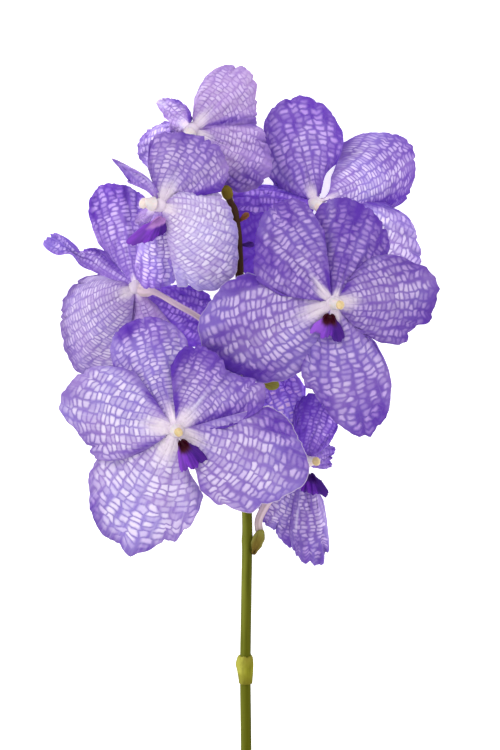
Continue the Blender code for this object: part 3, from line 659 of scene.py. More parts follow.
def spline(values, place):
    """A smooth curve through evenly spaced values, read at places from 0 to 1."""
    values = np.asarray(values, float)
    steps = len(values) - 1
    index = np.minimum((place * steps).astype(int), steps - 1)
    part = place * steps - index
    before = values[np.maximum(index - 1, 0)]
    here = values[index]
    there = values[index + 1]
    after = values[np.minimum(index + 2, steps)]
    return 0.5 * (2.0 * here + (there - before) * part
                  + (2.0 * before - 5.0 * here + 4.0 * there - after) * part ** 2
                  + (3.0 * here - before - 3.0 * there + after) * part ** 3)


def ripples(place, seed, octaves=((3, 1.0), (7, 0.6), (13, 0.4))):
    """A seeded wavy line with values near -1 to 1."""
    draw = np.random.RandomState(seed)
    total = np.zeros_like(place)
    for waves, weight in octaves:
        total += weight * np.sin(math.tau * (waves * place * (1 + 0.1 * draw.rand()) + draw.rand()))
    return total / sum(weight for _, weight in octaves)


def unit(vectors):
    """Vectors scaled to length one."""
    return vectors / np.maximum(np.linalg.norm(vectors, axis=-1, keepdims=True), 1e-12)


def angles(sides):
    """Even angles round a ring."""
    return np.linspace(0, math.tau, sides, endpoint=False)


def blade_grid(rows, columns):
    """Shares along and across a blade."""
    return np.meshgrid(np.linspace(0, 1, rows + 1), np.linspace(0, 1, columns + 1), indexing="ij")


def near_margin(along, side):
    """From 0 inside a blade to 1 along its end and its side margins."""
    return np.maximum(rise(along, *OUTER_PART), smooth(abs(side) * 3 - 2))


def fan_points(fan, along, across, inner, size):
    """A fan's middle surface: points, their distance from its root, the share of its angle there."""
    middle = 0.5 * (fan.first + fan.last)
    bearing = fan.first + (fan.last - fan.first) * across - middle
    width = fan.claw + (1.0 - fan.claw) * smooth(along / CLAW_ENDS)
    angle = np.radians(middle + bearing * width - fan.sweep * (1.0 - along))
    distance = inner + (size * spline(fan.reach, across) - inner) * along
    side = 2.0 * across - 1.0
    height = (fan.layer * smooth(along / RISE_ENDS)
              + fan.lift * along ** LIFT_POWER
              + 4.0 * fan.arch * along * (1.0 - along)
              + (fan.cup * side ** 2 + fan.roll * side) * along
              + fan.ruffle * along ** 2 * np.sin(math.pi * fan.waves * across + fan.phase)
              + fan.ears * side ** 4 * smooth(along / EARS_START)
              * fade(along, EARS_END, EARS_FADE))
    points = np.stack([distance * np.cos(angle), distance * np.sin(angle), height], axis=-1)
    return points, distance, width


def set_on_bloom(points, fan, bloom):
    """Move a blade's points from its root to its place on the leaning bloom."""
    points += np.array(fan.root)
    points[..., 2] += bloom.slope[0] * points[..., 0] + bloom.slope[1] * points[..., 1]
    points += np.array(bloom.middle)


def grid_normals(points):
    """Upward normals of a grid of points."""
    normals = unit(np.cross(np.gradient(points, axis=1), np.gradient(points, axis=0)))
    return -normals if normals[..., 2].mean() < 0.0 else normals


def grid_faces(rows, columns):
    """Quads of a grid whose vertices run row by row."""
    index = np.arange((rows + 1) * (columns + 1)).reshape(rows + 1, columns + 1)
    corners = (index[:-1, :-1], index[:-1, 1:], index[1:, 1:], index[1:, :-1])
    return np.stack(corners, -1).reshape(-1, 4)


def outline_of(rows, columns):
    """Indices round the outside of a grid, in order."""
    index = np.arange((rows + 1) * (columns + 1)).reshape(rows + 1, columns + 1)
    return np.concatenate([index[0, :-1], index[:-1, -1], index[-1, :0:-1], index[:0:-1, 0]])


def tile(maps, number, side):
    """Bake map places moved from the unit square into one tile of a square of tiles."""
    shift = np.array([number % side, number // side], float)
    return (TILE_MARGIN + (1.0 - 2.0 * TILE_MARGIN) * maps + shift) / side


class Surface:
    """Closed pieces of mesh gathered in one object, with their painted values and bake map."""

    def __init__(self):
        self.points = []
        self.faces = []
        self.maps = []
        self.values = {"net": [], "zone": [], "tone": [], "more": []}
        self.count = 0

    def add(self, points, faces, maps, values):
        """Add vertices, faces, the bake map of the faces' corners, and the vertices' values."""
        self.points.append(points)
        self.faces.extend((face + self.count).tolist() for face in faces)
        self.maps.append(maps)
        for name, rows in self.values.items():
            rows.append(values.get(name, np.zeros((len(points), 3))))
        self.count += len(points)

    def show(self, name, material, slot, *nodes):
        """Make the object, shaded smooth, and ride it on the spray in place of its nodes."""
        mesh = bpy.data.meshes.new(name)
        mesh.from_pydata((np.vstack(self.points) * MM).tolist(), [], self.faces)
        for key, rows in self.values.items():
            attribute = mesh.attributes.new(key, "FLOAT_VECTOR", "POINT")
            attribute.data.foreach_set("vector", np.vstack(rows).astype(np.float32).ravel())
        layer = mesh.uv_layers.new(name="OFBake")
        layer.uv.foreach_set("vector", np.vstack(self.maps).astype(np.float32).ravel())
        mesh.materials.append(material)
        mesh.shade_smooth()
        mesh.update()
        piece = bpy.data.objects.new(name, mesh)
        bpy.context.scene.collection.objects.link(piece)
        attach(piece, "root")
        if nodes:
            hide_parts(*nodes)


def add_blade(surface, middle, half, values, number=0, side=BLADE_TILES, under=None):
    """Add a blade to a surface: two faces a little apart, joined round the rim."""
    rows, columns = middle.shape[0] - 1, middle.shape[1] - 1
    normals = grid_normals(middle)
    top = (middle + normals * half[..., None]).reshape(-1, 3)
    low = (middle - normals * half[..., None]).reshape(-1, 3)
    low[:, 2] = np.maximum(low[:, 2], LOWEST_UNDER)
    top[:, 2] = np.maximum(top[:, 2], LOWEST_TOP)
    count = len(top)
    up = grid_faces(rows, columns)
    down = up[:, ::-1] + count
    ring = outline_of(rows, columns)
    after = np.roll(ring, -1)
    rim = np.stack([ring, ring + count, after + count, after], -1)
    first, second, third = top[up[0, 0]], top[up[0, 1]], top[up[0, 2]]
    if np.dot(np.cross(second - first, third - first), normals[0, 0]) < 0.0:
        up, down, rim = up[:, ::-1], down[:, ::-1], rim[:, ::-1]
    along, across = blade_grid(rows, columns)
    flat = np.stack([across, along], -1).reshape(-1, 2)
    inset = FACE_MARGIN + (1.0 - 2.0 * FACE_MARGIN) * flat
    upper, lower = tile(inset, number, side), tile(inset, number + 1, side)
    outer = tile(flat, number, side)
    rim_map = np.where((rim < count)[..., None], upper[rim % count], outer[rim % count])
    maps = np.concatenate([upper[up], lower[down % count], rim_map]).reshape(-1, 2)
    painted = {}
    for key, value in values.items():
        beneath = (under or {}).get(key, value)
        painted[key] = np.vstack([value.reshape(-1, 3), beneath.reshape(-1, 3)])
    surface.add(np.vstack([top, low]), np.concatenate([up, down, rim]), maps, painted)


def lathe(surface, line, frames, radii, values, number=0, side=1):
    """Add a round body along a line: a ring at each point, closed at both ends."""
    rings, sides = radii.shape
    turn = angles(sides)
    ring = (np.cos(turn)[None, :, None] * frames[0][:, None, :]
            + np.sin(turn)[None, :, None] * frames[1][:, None, :])
    points = (line[:, None, :] + ring * radii[..., None]).reshape(-1, 3)
    points = np.vstack([points, line[0], line[-1]])
    points[:, 2] = np.maximum(points[:, 2], 0.0)
    index = np.arange(rings * sides).reshape(rings, sides)
    index = np.hstack([index, index[:, :1]]).ravel()
    level, across = blade_grid(rings - 1, sides)
    quads = grid_faces(rings - 1, sides)
    maps = np.stack([across, level], -1).reshape(-1, 2)[quads].reshape(-1, 2)
    ends, end_maps = [], []
    first, last = rings * sides, (rings - 1) * sides
    for column in range(sides):
        after = (column + 1) % sides
        tip, left, right = (column + 0.5) / sides, column / sides, after / sides
        ends += [(first, after, column), (first + 1, last + column, last + after)]
        end_maps += [(tip, 0), (right, 0), (left, 0), (tip, 1), (left, 1), (right, 1)]
    painted = {}
    for key, rows in values.items():
        painted[key] = np.vstack([rows.reshape(-1, 3), rows[0, :1], rows[-1, :1]])
    maps = tile(np.vstack([maps, end_maps]), number, side)
    surface.add(points, [*index[quads], *np.array(ends)], maps, painted)


def round_zone(place, sides, third=0.0, shift=0.0):
    """The painted values of a round body: the share along it, the share round it and one more."""
    along, around = np.meshgrid(place, (angles(sides) / math.tau + shift) % 1.0, indexing="ij")
    return {"zone": np.stack([along, around, np.full_like(along, third)], -1)}


def show_round(line, frames, radii, zone, name, material, slot, *nodes):
    """Make a piece of one round body."""
    surface = Surface()
    lathe(surface, line, frames, radii, zone)
    surface.show(name, material, slot, *nodes)


def show_blade(points, half, zone, name, material, slot, node):
    """Make a piece of one blade."""
    surface = Surface()
    add_blade(surface, points, half, {"zone": np.stack(zone, -1)})
    surface.show(name, material, slot, node)


def axis_frames(axis, toward, rings):
    """Two directions square to an axis, the second leaning toward a given way."""
    second = np.array(toward) - axis * np.dot(toward, axis)
    second = second / np.linalg.norm(second)
    return np.tile(np.cross(second, axis), (rings, 1)), np.tile(second, (rings, 1))


def frames_along(points):
    """Two directions square to a line at each of its points, turning as little as they can."""
    run = unit(np.gradient(points, axis=0))
    side = np.cross(run[0], (0.0, 0.0, 1.0))
    if np.linalg.norm(side) < 0.1:
        side = np.cross(run[0], (1.0, 0.0, 0.0))
    sides = []
    for direction in run:
        side = side - direction * np.dot(side, direction)
        side = side / np.linalg.norm(side)
        sides.append(side)
    sides = np.array(sides)
    return sides, np.cross(run, sides)


def line_points(line, count):
    """Points and radii of a smooth curve through a line of x, y, height and radius."""
    place = np.linspace(0, 1, count + 1)
    rows = np.stack([spline(column, place) for column in np.array(line, float).T], -1)
    return rows[:, :3], rows[:, 3]


def stem_at(y):
    """The stem's middle point, its run and its radius where it passes a given y."""
    points, radii = line_points(STEM_LINE, SEAT_STEPS)
    place = np.searchsorted(points[:, 1], y)
    low, high = points[place - 1], points[place]
    share = (y - low[1]) / (high[1] - low[1])
    radius = radii[place - 1] + share * (radii[place] - radii[place - 1])
    return low + (high - low) * share, unit(high - low), radius


def margin_line(coat, across, span, seed):
    """How far the margin stands out from the solid's: scallops, fraying, nicks and bulges."""
    draw = np.random.RandomState(seed)
    beat = across * (span * SCALLOPS_PER_RADIAN + SCALLOPS) + draw.rand()
    beat = beat + 0.3 * ripples(across, seed + 5)
    scallop = 0.5 - abs(np.sin(math.pi * beat)) ** SCALLOP_ROUND
    line = MARGIN_OUT + SCALLOP * scallop * (0.8 + 0.7 * ripples(across, seed + 6))
    line += FRAY * ripples(across, seed, ((13, 1.0), (23, 0.8)))
    for _ in range(NICKS):
        at, half = draw.uniform(*NICK_PLACES), draw.uniform(*NICK_HALVES) / span
        line -= draw.uniform(*NICK_DEPTHS) * np.clip(1.0 - abs(across - at) / half, 0.0, 1.0)
    for at, half, size in coat.edges:
        line += size * bell(across, at, half)
    return line


def narrowed(fan, coat, along, across):
    """The places across, from -0.5 to 0.5, drawn in by the blade's waists and notches."""
    spread = across - 0.5
    share = along * spline(fan.reach, across) / max(fan.reach)
    for shift, at, half, strength in coat.waists:
        swell = bell(share, at, half)
        spread = spread * (1.0 - strength * swell) + shift * swell
    for margin, at, half, strength in coat.notches:
        swell = bell(share, at, half) * ((spread > 0.0) == (margin == 1))
        spread = spread * (1.0 - strength * swell)
    return spread


def petal_points(fan, coat, bloom, along, across, seed):
    """A tepal's middle surface with its fine forms, and the same two values as for a fan."""
    side = 2.0 * across - 1.0
    angle = fan.last - fan.first
    broad = min(0.5 * (fan.claw + 1.15), 1.0) if fan.claw > 0.5 else fan.claw
    points, distance, width = fan_points(replace(fan, claw=broad), along, across, TEPAL_ROOT,
                                         bloom.size)
    turn = np.radians(angle * width * (narrowed(fan, coat, along, across) - across + 0.5))
    x, y = points[..., 0], points[..., 1]
    points[..., :2] = np.stack([x * np.cos(turn) - y * np.sin(turn),
                                x * np.sin(turn) + y * np.cos(turn)], -1)
    nick = margin_line(coat, across, math.radians(abs(angle)), seed) / distance
    points[..., :2] *= (1.0 + nick * rise(along, *NICKED))[..., None]
    crimp = CRIMP * ripples(across, seed + 1, ((9, 1.0), (15, 0.7), (23, 0.4)))
    points[..., 2] += crimp * rise(along, *CRIMPED)
    sway = SIDE_WAVE * ripples(along, seed + 2, ((4, 1.0), (9, 0.6)))
    points[..., 2] += sway * smooth(abs(side) * 4 - 3)
    weave = (ripples(across * 1.7 + along * 0.6, seed + 7, ((2, 1.0), (4, 0.7)))
             * ripples(along * 1.3 - across * 0.4, seed + 8, ((2, 1.0), (5, 0.6))))
    points[..., 2] += PUCKER * weave * rise(along, *PUCKERED)
    for fold in coat.folds:
        points[..., 2] += spot(across, along, fold)
    # A furrow runs from the claw along the midrib
    furrow = FURROW * bell(side, 0.0, FURROW_HALF)
    points[..., 2] -= furrow * rise(along, *FURROW_IN) * fade(along, *FURROW_OUT)
    set_on_bloom(points, fan, bloom)
    points[..., 2] = np.maximum(points[..., 2], LOWEST_MIDDLE)
    return points, distance, width


def add_petal(surface, fan, coat, bloom, number, seed):
    """Add one tepal to its bloom's surface, finely waved and painted."""
    along, across = blade_grid(PETAL_ROWS, PETAL_COLUMNS)
    side = 2.0 * across - 1.0
    points, distance, width = petal_points(fan, coat, bloom, along, across, seed)
    half = (PETAL_HALF + (MARGIN_HALF - PETAL_HALF) * near_margin(along, side)
            + CLAW_HALF * fade(distance, *CLAW_OUT))
    arc = distance * math.radians(abs(fan.last - fan.first)) * width
    reach = bloom.size * spline(fan.reach, across)
    edge = np.minimum((1.0 - along) * reach, (1.0 - abs(side)) * 0.5 * arc)
    # The net's cells keep their length where a blade hangs down
    fall = fan.lift * along ** LIFT_POWER
    steps = np.hypot(np.diff(distance, axis=0), np.diff(fall, axis=0))
    travel = TEPAL_ROOT + np.vstack([np.zeros(PETAL_COLUMNS + 1), np.cumsum(steps, axis=0)])
    pitch = coat.cell * CELL_WIDTH * (distance / CELL_DISTANCE) ** CELL_SPREAD
    net = np.stack([side * 0.5 * arc / pitch + NET_SHIFT * number + SEED_SHIFT * seed,
                    travel / (coat.cell * CELL_LENGTH), pitch], -1)
    patches = 0.5 + 0.7 * ripples(across, seed + 4, ((1, 1.0), (3, 0.7), (6, 0.4)))
    outer = 0.5 * rise(along, *OUTER_PART) + 0.3 * rise(abs(side), 0.65, 0.35)
    deep = coat.deep + outer * patches + 0.12 * ripples(across, seed + 3, ((2, 1.0), (5, 0.5)))
    # Spots of deeper violet; some are painted shade at folds and under overlapping tepals
    for mark in coat.deeper_and_shaded:
        deep = deep + spot(across, along, mark)
    heart = max(coat.heart, 0.1)
    outside = smooth((distance * (1.0 + 1.7 * side ** 2) - 0.2 * heart) / (1.4 * heart))
    pale = coat.white + (coat.heart > 0.0) * (1.0 - outside)
    # Pale spots: the tepal's own pale streaks, and painted highlight on some ridges
    for mark in coat.paler_and_highlit:
        pale = pale + spot(across, along, mark)
    mauve = np.full_like(along, coat.mauve)
    beneath = mauve if bloom.away else np.maximum(mauve, UNDER_MAUVE)
    # The tepal's painted rim highlight, its cells' size and its painted light are carried in "more"
    values = {"net": net, "zone": np.stack([along, side, edge], -1),
              "tone": np.stack([deep, pale, mauve], -1),
              "more": np.tile((coat.rim, coat.cell, coat.light), (*along.shape, 1))}
    under = {"tone": np.stack([deep, pale, beneath], -1)}
    add_blade(surface, points, half, values, 2 * number, PETAL_TILES, under)


def make_petals(number, bloom, material):
    """The bloom's five tepals and the cushion that they grow from."""
    surface = Surface()
    for place, fan in enumerate(bloom.tepals):
        add_petal(surface, fan, COATS[number - 1][place], bloom, place, 10 * number + place)
    level = np.linspace(-1.0, 1.0, CORE_RINGS)
    up = np.array([0, 0, 1.0])
    line = np.array(bloom.middle) + up * (CORE_RADIUS * CORE_TALL * level)[:, None]
    frames = [np.tile(way, (CORE_RINGS, 1)) for way in ((1.0, 0.0, 0.0), (0.0, 1.0, 0.0))]
    radii = CORE_WIDE * CORE_RADIUS * np.sqrt(np.clip(1.0 - (level * CORE_ROUND) ** 2, 0.0, 1.0))
    radii = radii[:, None] * (1.0 + CORE_LOBES * np.sin(5 * angles(CORE_SIDES)))[None, :]
    values = {key: np.tile(tint, (CORE_RINGS, CORE_SIDES, 1)) for key, tint in CORE_TINTS.items()}
    lathe(surface, line, frames, radii, values, CORE_TILE, PETAL_TILES)
    surface.show(f"bloom_{number}_petals", material, "tepal", f"bloom_{number}_tepals")


def make_lip(number, bloom, material):
    """The lip with its keels and its raised side lobes."""
    fan = replace(bloom.lip, claw=LIP_CLAW)
    along, across = blade_grid(LIP_ROWS, LIP_COLUMNS)
    side = 2.0 * across - 1.0
    points, distance, _ = fan_points(fan, along, across, BLADE_ROOT, 1.0)
    at_across, half_across, share = bloom.trim
    corner = LIP_CORNER * bell(abs(side), *LIP_CORNER_AT) + LIP_WAVE * ripples(across, number)
    corner -= share * bell(across, at_across, half_across)
    points[..., :2] *= (1.0 + corner * rise(along, *OUTER_PART))[..., None]
    way = -1.0 if bloom.away else 1.0
    body = rise(along, *KEELS_IN)
    for keel in KEELS:
        ridge = way * KEEL_HEIGHT * bell(side, keel, KEEL_HALF)
        points[..., 2] += ridge * body * fade(along, *KEELS_OUT)
    points[..., 2] -= way * LIP_POUCH * bell(along, *LIP_POUCH_AT) * (1 - side ** 2)
    points[..., 2] -= way * LIP_TIP_DROP * rise(along, *LIP_TIP)
    set_on_bloom(points, fan, bloom)
    half = LIP_HALF - LIP_THINNER * near_margin(along, side)
    show_blade(points, half, (along, side, (1 - along) * distance),
               f"bloom_{number}_labellum", material, "lip", f"bloom_{number}_lip")


def make_column(number, bloom, material, cap_finish):
    """The column, hollowed under its tip, and the anther cap that closes it."""
    front = unit(np.array(bloom.front, float))
    bearing = math.radians(0.5 * (bloom.lip.first + bloom.lip.last))
    toward = np.array([math.cos(bearing), math.sin(bearing), 0.0])
    start = np.array(bloom.middle) + front * (CORE_RADIUS + 0.5 * GAP)
    share, girth, back = bloom.column
    length = COLUMN_LENGTH * share
    place = np.linspace(0, 1, COLUMN_RINGS)
    turn = angles(COLUMN_SIDES)
    line = start + front * (length * COLUMN_SHOWN * place)[:, None]
    facing = np.clip(np.sin(turn), 0, 1)[None, :]
    hollow = COLUMN_HOLLOW * facing ** 3 * bell(place, *COLUMN_HOLLOW_AT)[:, None]
    radii = girth * np.interp(place, *COLUMN_PROFILE)[:, None]
    radii = radii * (1.0 + COLUMN_FLAT * np.cos(2 * turn))[None, :] - hollow
    show_round(line, axis_frames(front, toward, COLUMN_RINGS), radii,
               round_zone(place, COLUMN_SIDES),
               f"bloom_{number}_column_body", material, "column", f"bloom_{number}_column")

    place = np.linspace(0, 1, CAP_RINGS)
    turn = angles(CAP_SIDES)
    middle = start + front * (length * CAP_AT - back)
    line = (middle + front * (CAP_LENGTH * (place - CAP_BEHIND))[:, None]
            + toward * (CAP_LEAN * place ** 2)[:, None])
    profile = CAP_RADIUS * girth * np.sqrt(np.clip(1.0 - (1.96 * place - 0.98) ** 2, 0, 1))
    beak = 1.0 + CAP_BEAK * np.clip(np.sin(turn), 0, 1) ** 2 - CAP_CLEFT * bell(np.cos(turn), 0.0, 0.2)
    show_round(line, axis_frames(front, toward, CAP_RINGS), profile[:, None] * beak[None, :],
               round_zone(place, CAP_SIDES), f"bloom_{number}_anther_cap", cap_finish, "column")


def make_pedicel(number, bloom, material):
    """The stalk of a bloom, ribbed and twisted, thickening into the ovary."""
    start, run, radius = stem_at(bloom.leaves_at)
    aim = np.array(bloom.route[0]) - start
    aim = unit(aim - run * np.dot(aim, run))
    back = unit(np.array(bloom.back, float))
    seat = np.array(bloom.middle) + back * (CORE_RADIUS + 0.5 * GAP)
    foot = start + aim * (radius + 0.5 * GAP)
    foot_end = start + aim * (radius + 2.0 * GAP + FOOT_LENGTH)
    line = [(*point, PEDICEL_RADIUS) for point in (foot, foot_end, *bloom.route)]
    line.append((*(seat + back * OVARY_LENGTH), PEDICEL_RADIUS))
    line.append((*(seat + OVARY_SHARE * back * OVARY_LENGTH), OVARY_RADIUS))
    line.append((*seat, OVARY_RADIUS))
    points, radii = line_points(line, PEDICEL_STEPS)
    place = np.linspace(0, 1, len(points))
    twist = angles(PEDICEL_SIDES)[None, :] + PEDICEL_TWIST * place[:, None]
    ribs = 1.0 - RIB_DEPTH * (1.0 - abs(np.sin(3.0 * twist))) ** 2
    flare = 1.0 + FOOT_FLARE * np.exp(-place / FLARE_LENGTH)
    ovary = AWAY_OVARY if bloom.away else 0.0
    fuller = PEDICEL_FULLER + ovary * rise(place, *OVARY_IN)
    fuller = fuller + bloom.thicker * rise(place, *THICKER_IN) * fade(place, *THICKER_OUT)
    radii = (radii * flare * fuller)[:, None] * ribs
    show_round(points, frames_along(points), radii, round_zone(place, PEDICEL_SIDES, 3.0 * number),
               f"bloom_{number}_stalk", material, "pedicel", f"bloom_{number}_pedicel")


def make_bract(number, bloom, material):
    """The papery scale under a pedicel's foot."""
    fan = replace(bloom.bract, claw=SCALE_CLAW)
    start, _, radius = stem_at(bloom.leaves_at - BRACT_DROP)
    middle = math.radians(0.5 * (fan.first + fan.last))
    along, across = blade_grid(SCALE_ROWS, SCALE_COLUMNS)
    points, _, _ = fan_points(fan, along, across, 0.0, 1.0)
    points[..., 2] += SCALE_WAVE * ripples(across, number) * along
    points += np.array(fan.root) + start
    points[..., 0] += math.copysign(1.0, math.cos(middle)) * (radius + 0.5 * GAP)
    zone = (along, 2.0 * across - 1.0, np.full_like(along, float(number)))
    show_blade(points, SCALE_HALF - SCALE_THINNER * along, zone,
               f"scale_{number}", material, "bract", f"bract_{number}")


def make_stem(material):
    """The stem and rachis, swollen at each pedicel's foot and ending in a bud scar."""
    points, radii = line_points(STEM_LINE, STEM_STEPS)
    up = points[:, 1]
    swell = np.zeros(len(points))
    for bloom in BLOOMS:
        swell += FOOT_SWELL * bell(up, bloom.leaves_at, FOOT_SWELL_HALF)
    ribs = (STEM_RIBS * np.sin(7 * angles(STEM_SIDES))[None, :]
            + STEM_WAVES * ripples(np.linspace(0, 1, len(points)), 3)[:, None])
    neck = rise(up, *NECK_IN) * fade(up, *NECK_OUT)
    radii = radii[:, None] * (1.0 + swell[:, None] + ribs) + NECK_THICKER * neck[:, None]
    height = (up - up[0]) / (up[-1] - up[0])
    show_round(points, frames_along(points), radii, round_zone(height, STEM_SIDES),
               "flower_stem", material, "stem", "stem")


def make_sheath(material):
    """The papery sheath that clasps the stem at its node."""
    middle, run, radius = stem_at(SHEATH_AT)
    place = np.linspace(0, 1, SHEATH_RINGS)
    turn = angles(SHEATH_SIDES)
    around = turn / math.tau
    swell = np.interp(place, *SHEATH_SWELL)
    ribs = SHEATH_RIBS * np.sin(11 * turn)[None, :] + SHEATH_WAVES * ripples(around, 5)[None, :]
    radii = (radius + GAP + SHEATH_WALL + swell)[:, None] * (1.0 + ribs)
    left = np.clip(-np.sin(turn), 0.0, 1.0)[None, :] ** 2
    bulge = SHEATH_BULGE * bell(place, *SHEATH_BULGE_AT) - SHEATH_PINCH * smooth(1.0 - place / 0.5)
    radii = radii + left * bulge[:, None]
    line = middle + run * (SHEATH_LENGTH * (place - 0.5))[:, None]
    frames = axis_frames(run, unit(np.cross(run, (0.0, 0.0, 1.0))), SHEATH_RINGS)
    surface = Surface()
    lathe(surface, line, frames, radii, round_zone(place, SHEATH_SIDES, 1.0, shift=0.75))
    torn = SHEATH_TORN * ripples(around, 9, ((5, 1.0), (11, 0.8), (17, 0.5)))
    torn = (rise(place, *SHEATH_TORN_FROM)[:, None] * torn[None, :]).reshape(-1, 1)
    surface.points[-1][:SHEATH_RINGS * SHEATH_SIDES] += torn * run
    surface.show("node_sheath", material, "sheath", "stem_sheath")


class Wire:
    """A node's output, on which sums can be written."""

    def __init__(self, recipe, socket):
        self.recipe = recipe
        self.socket = socket

    def __add__(self, other):
        return self.recipe.math("ADD", self, other)

    def __sub__(self, other):
        return self.recipe.math("SUBTRACT", self, other)

    def __mul__(self, other):
        return self.recipe.math("MULTIPLY", self, other)

    def __truediv__(self, other):
        return self.recipe.math("DIVIDE", self, other)


class Recipe:
    """One node material, built step by step."""

    def __init__(self, name):
        self.material = bpy.data.materials.new(name)
        self.material.use_nodes = True
        self.tree = self.material.node_tree
        self.shader = self.tree.nodes["Principled BSDF"]

    def put(self, socket, value):
        """Link an output to a socket, or set the socket's own value."""
        if isinstance(value, Wire):
            self.tree.links.new(value.socket, socket)
        elif isinstance(value, tuple) and len(value) == 3 and socket.type == "RGBA":
            socket.default_value = (*value, 1.0)
        else:
            socket.default_value = value

    def node(self, kind, inputs, **settings):
        """A new node with its properties and its inputs set."""
        made = self.tree.nodes.new(kind)
        for key, value in settings.items():
            setattr(made, key, value)
        for key, value in inputs.items():
            self.put(made.inputs[key], value)
        return made

    def attribute(self, name):
        """The three values painted on the mesh under a name."""
        made = self.node("ShaderNodeAttribute", {}, attribute_name=name)
        return self.split(Wire(self, made.outputs["Vector"]))

    def place(self):
        """The surface's place in the object."""
        return Wire(self, self.node("ShaderNodeTexCoord", {}).outputs["Object"])

    def split(self, vector):
        """The three parts of a vector."""
        made = self.node("ShaderNodeSeparateXYZ", {0: vector})
        return [Wire(self, output) for output in made.outputs]

    def join(self, x, y, z):
        """A vector from three parts."""
        return Wire(self, self.node("ShaderNodeCombineXYZ", {0: x, 1: y, 2: z}).outputs[0])

    def math(self, operation, *values):
        """A number worked out from others."""
        made = self.node("ShaderNodeMath", dict(enumerate(values)), operation=operation)
        return Wire(self, made.outputs[0])

    def vector(self, operation, first, second=None):
        """A vector worked out from others, or the length or product of vectors."""
        inputs = {0: first}
        if second is not None:
            inputs["Scale" if operation == "SCALE" else 1] = second
        made = self.node("ShaderNodeVectorMath", inputs, operation=operation)
        output = "Value" if operation in ("LENGTH", "DOT_PRODUCT") else "Vector"
        return Wire(self, made.outputs[output])

    def ease(self, value, low, high, to_low=0.0, to_high=1.0):
        """A number eased from one range into another."""
        inputs = {"Value": value, "From Min": low, "From Max": high,
                  "To Min": to_low, "To Max": to_high}
        made = self.node("ShaderNodeMapRange", inputs, interpolation_type="SMOOTHSTEP")
        return Wire(self, made.outputs[0])

    def mix(self, share, first, second, blend="MIX"):
        """A colour between two others."""
        inputs = {0: share, 6: first, 7: second}
        made = self.node("ShaderNodeMix", inputs, data_type="RGBA", blend_type=blend)
        return Wire(self, made.outputs[2])

    def noise(self, vector, scale, detail=2.0, colour=False):
        """Cloudy noise."""
        made = self.node("ShaderNodeTexNoise", {"Vector": vector, "Scale": scale, "Detail": detail})
        return Wire(self, made.outputs["Color" if colour else "Fac"])

    def cells(self, vector, feature, randomness):
        """The place and the random colour of the nearest points of a jittered plane grid."""
        inputs = {"Vector": vector, "Scale": 1.0, "Randomness": randomness}
        made = self.node("ShaderNodeTexVoronoi", inputs, voronoi_dimensions="2D", feature=feature)
        return Wire(self, made.outputs["Position"]), Wire(self, made.outputs["Color"])

    def bump(self, height, distance, strength):
        """A relief on the shader's normal."""
        inputs = {"Height": height, "Distance": distance * MM, "Strength": strength}
        made = self.node("ShaderNodeBump", inputs)
        self.put(self.shader.inputs["Normal"], Wire(self, made.outputs[0]))

    def finish(self, colour, roughness, settings):
        """Fill the shader's sockets and give the material."""
        self.put(self.shader.inputs["Base Color"], colour)
        self.put(self.shader.inputs["Roughness"], roughness)
        for key, value in settings.items():
            self.shader.inputs[key].default_value = value
        return self.material


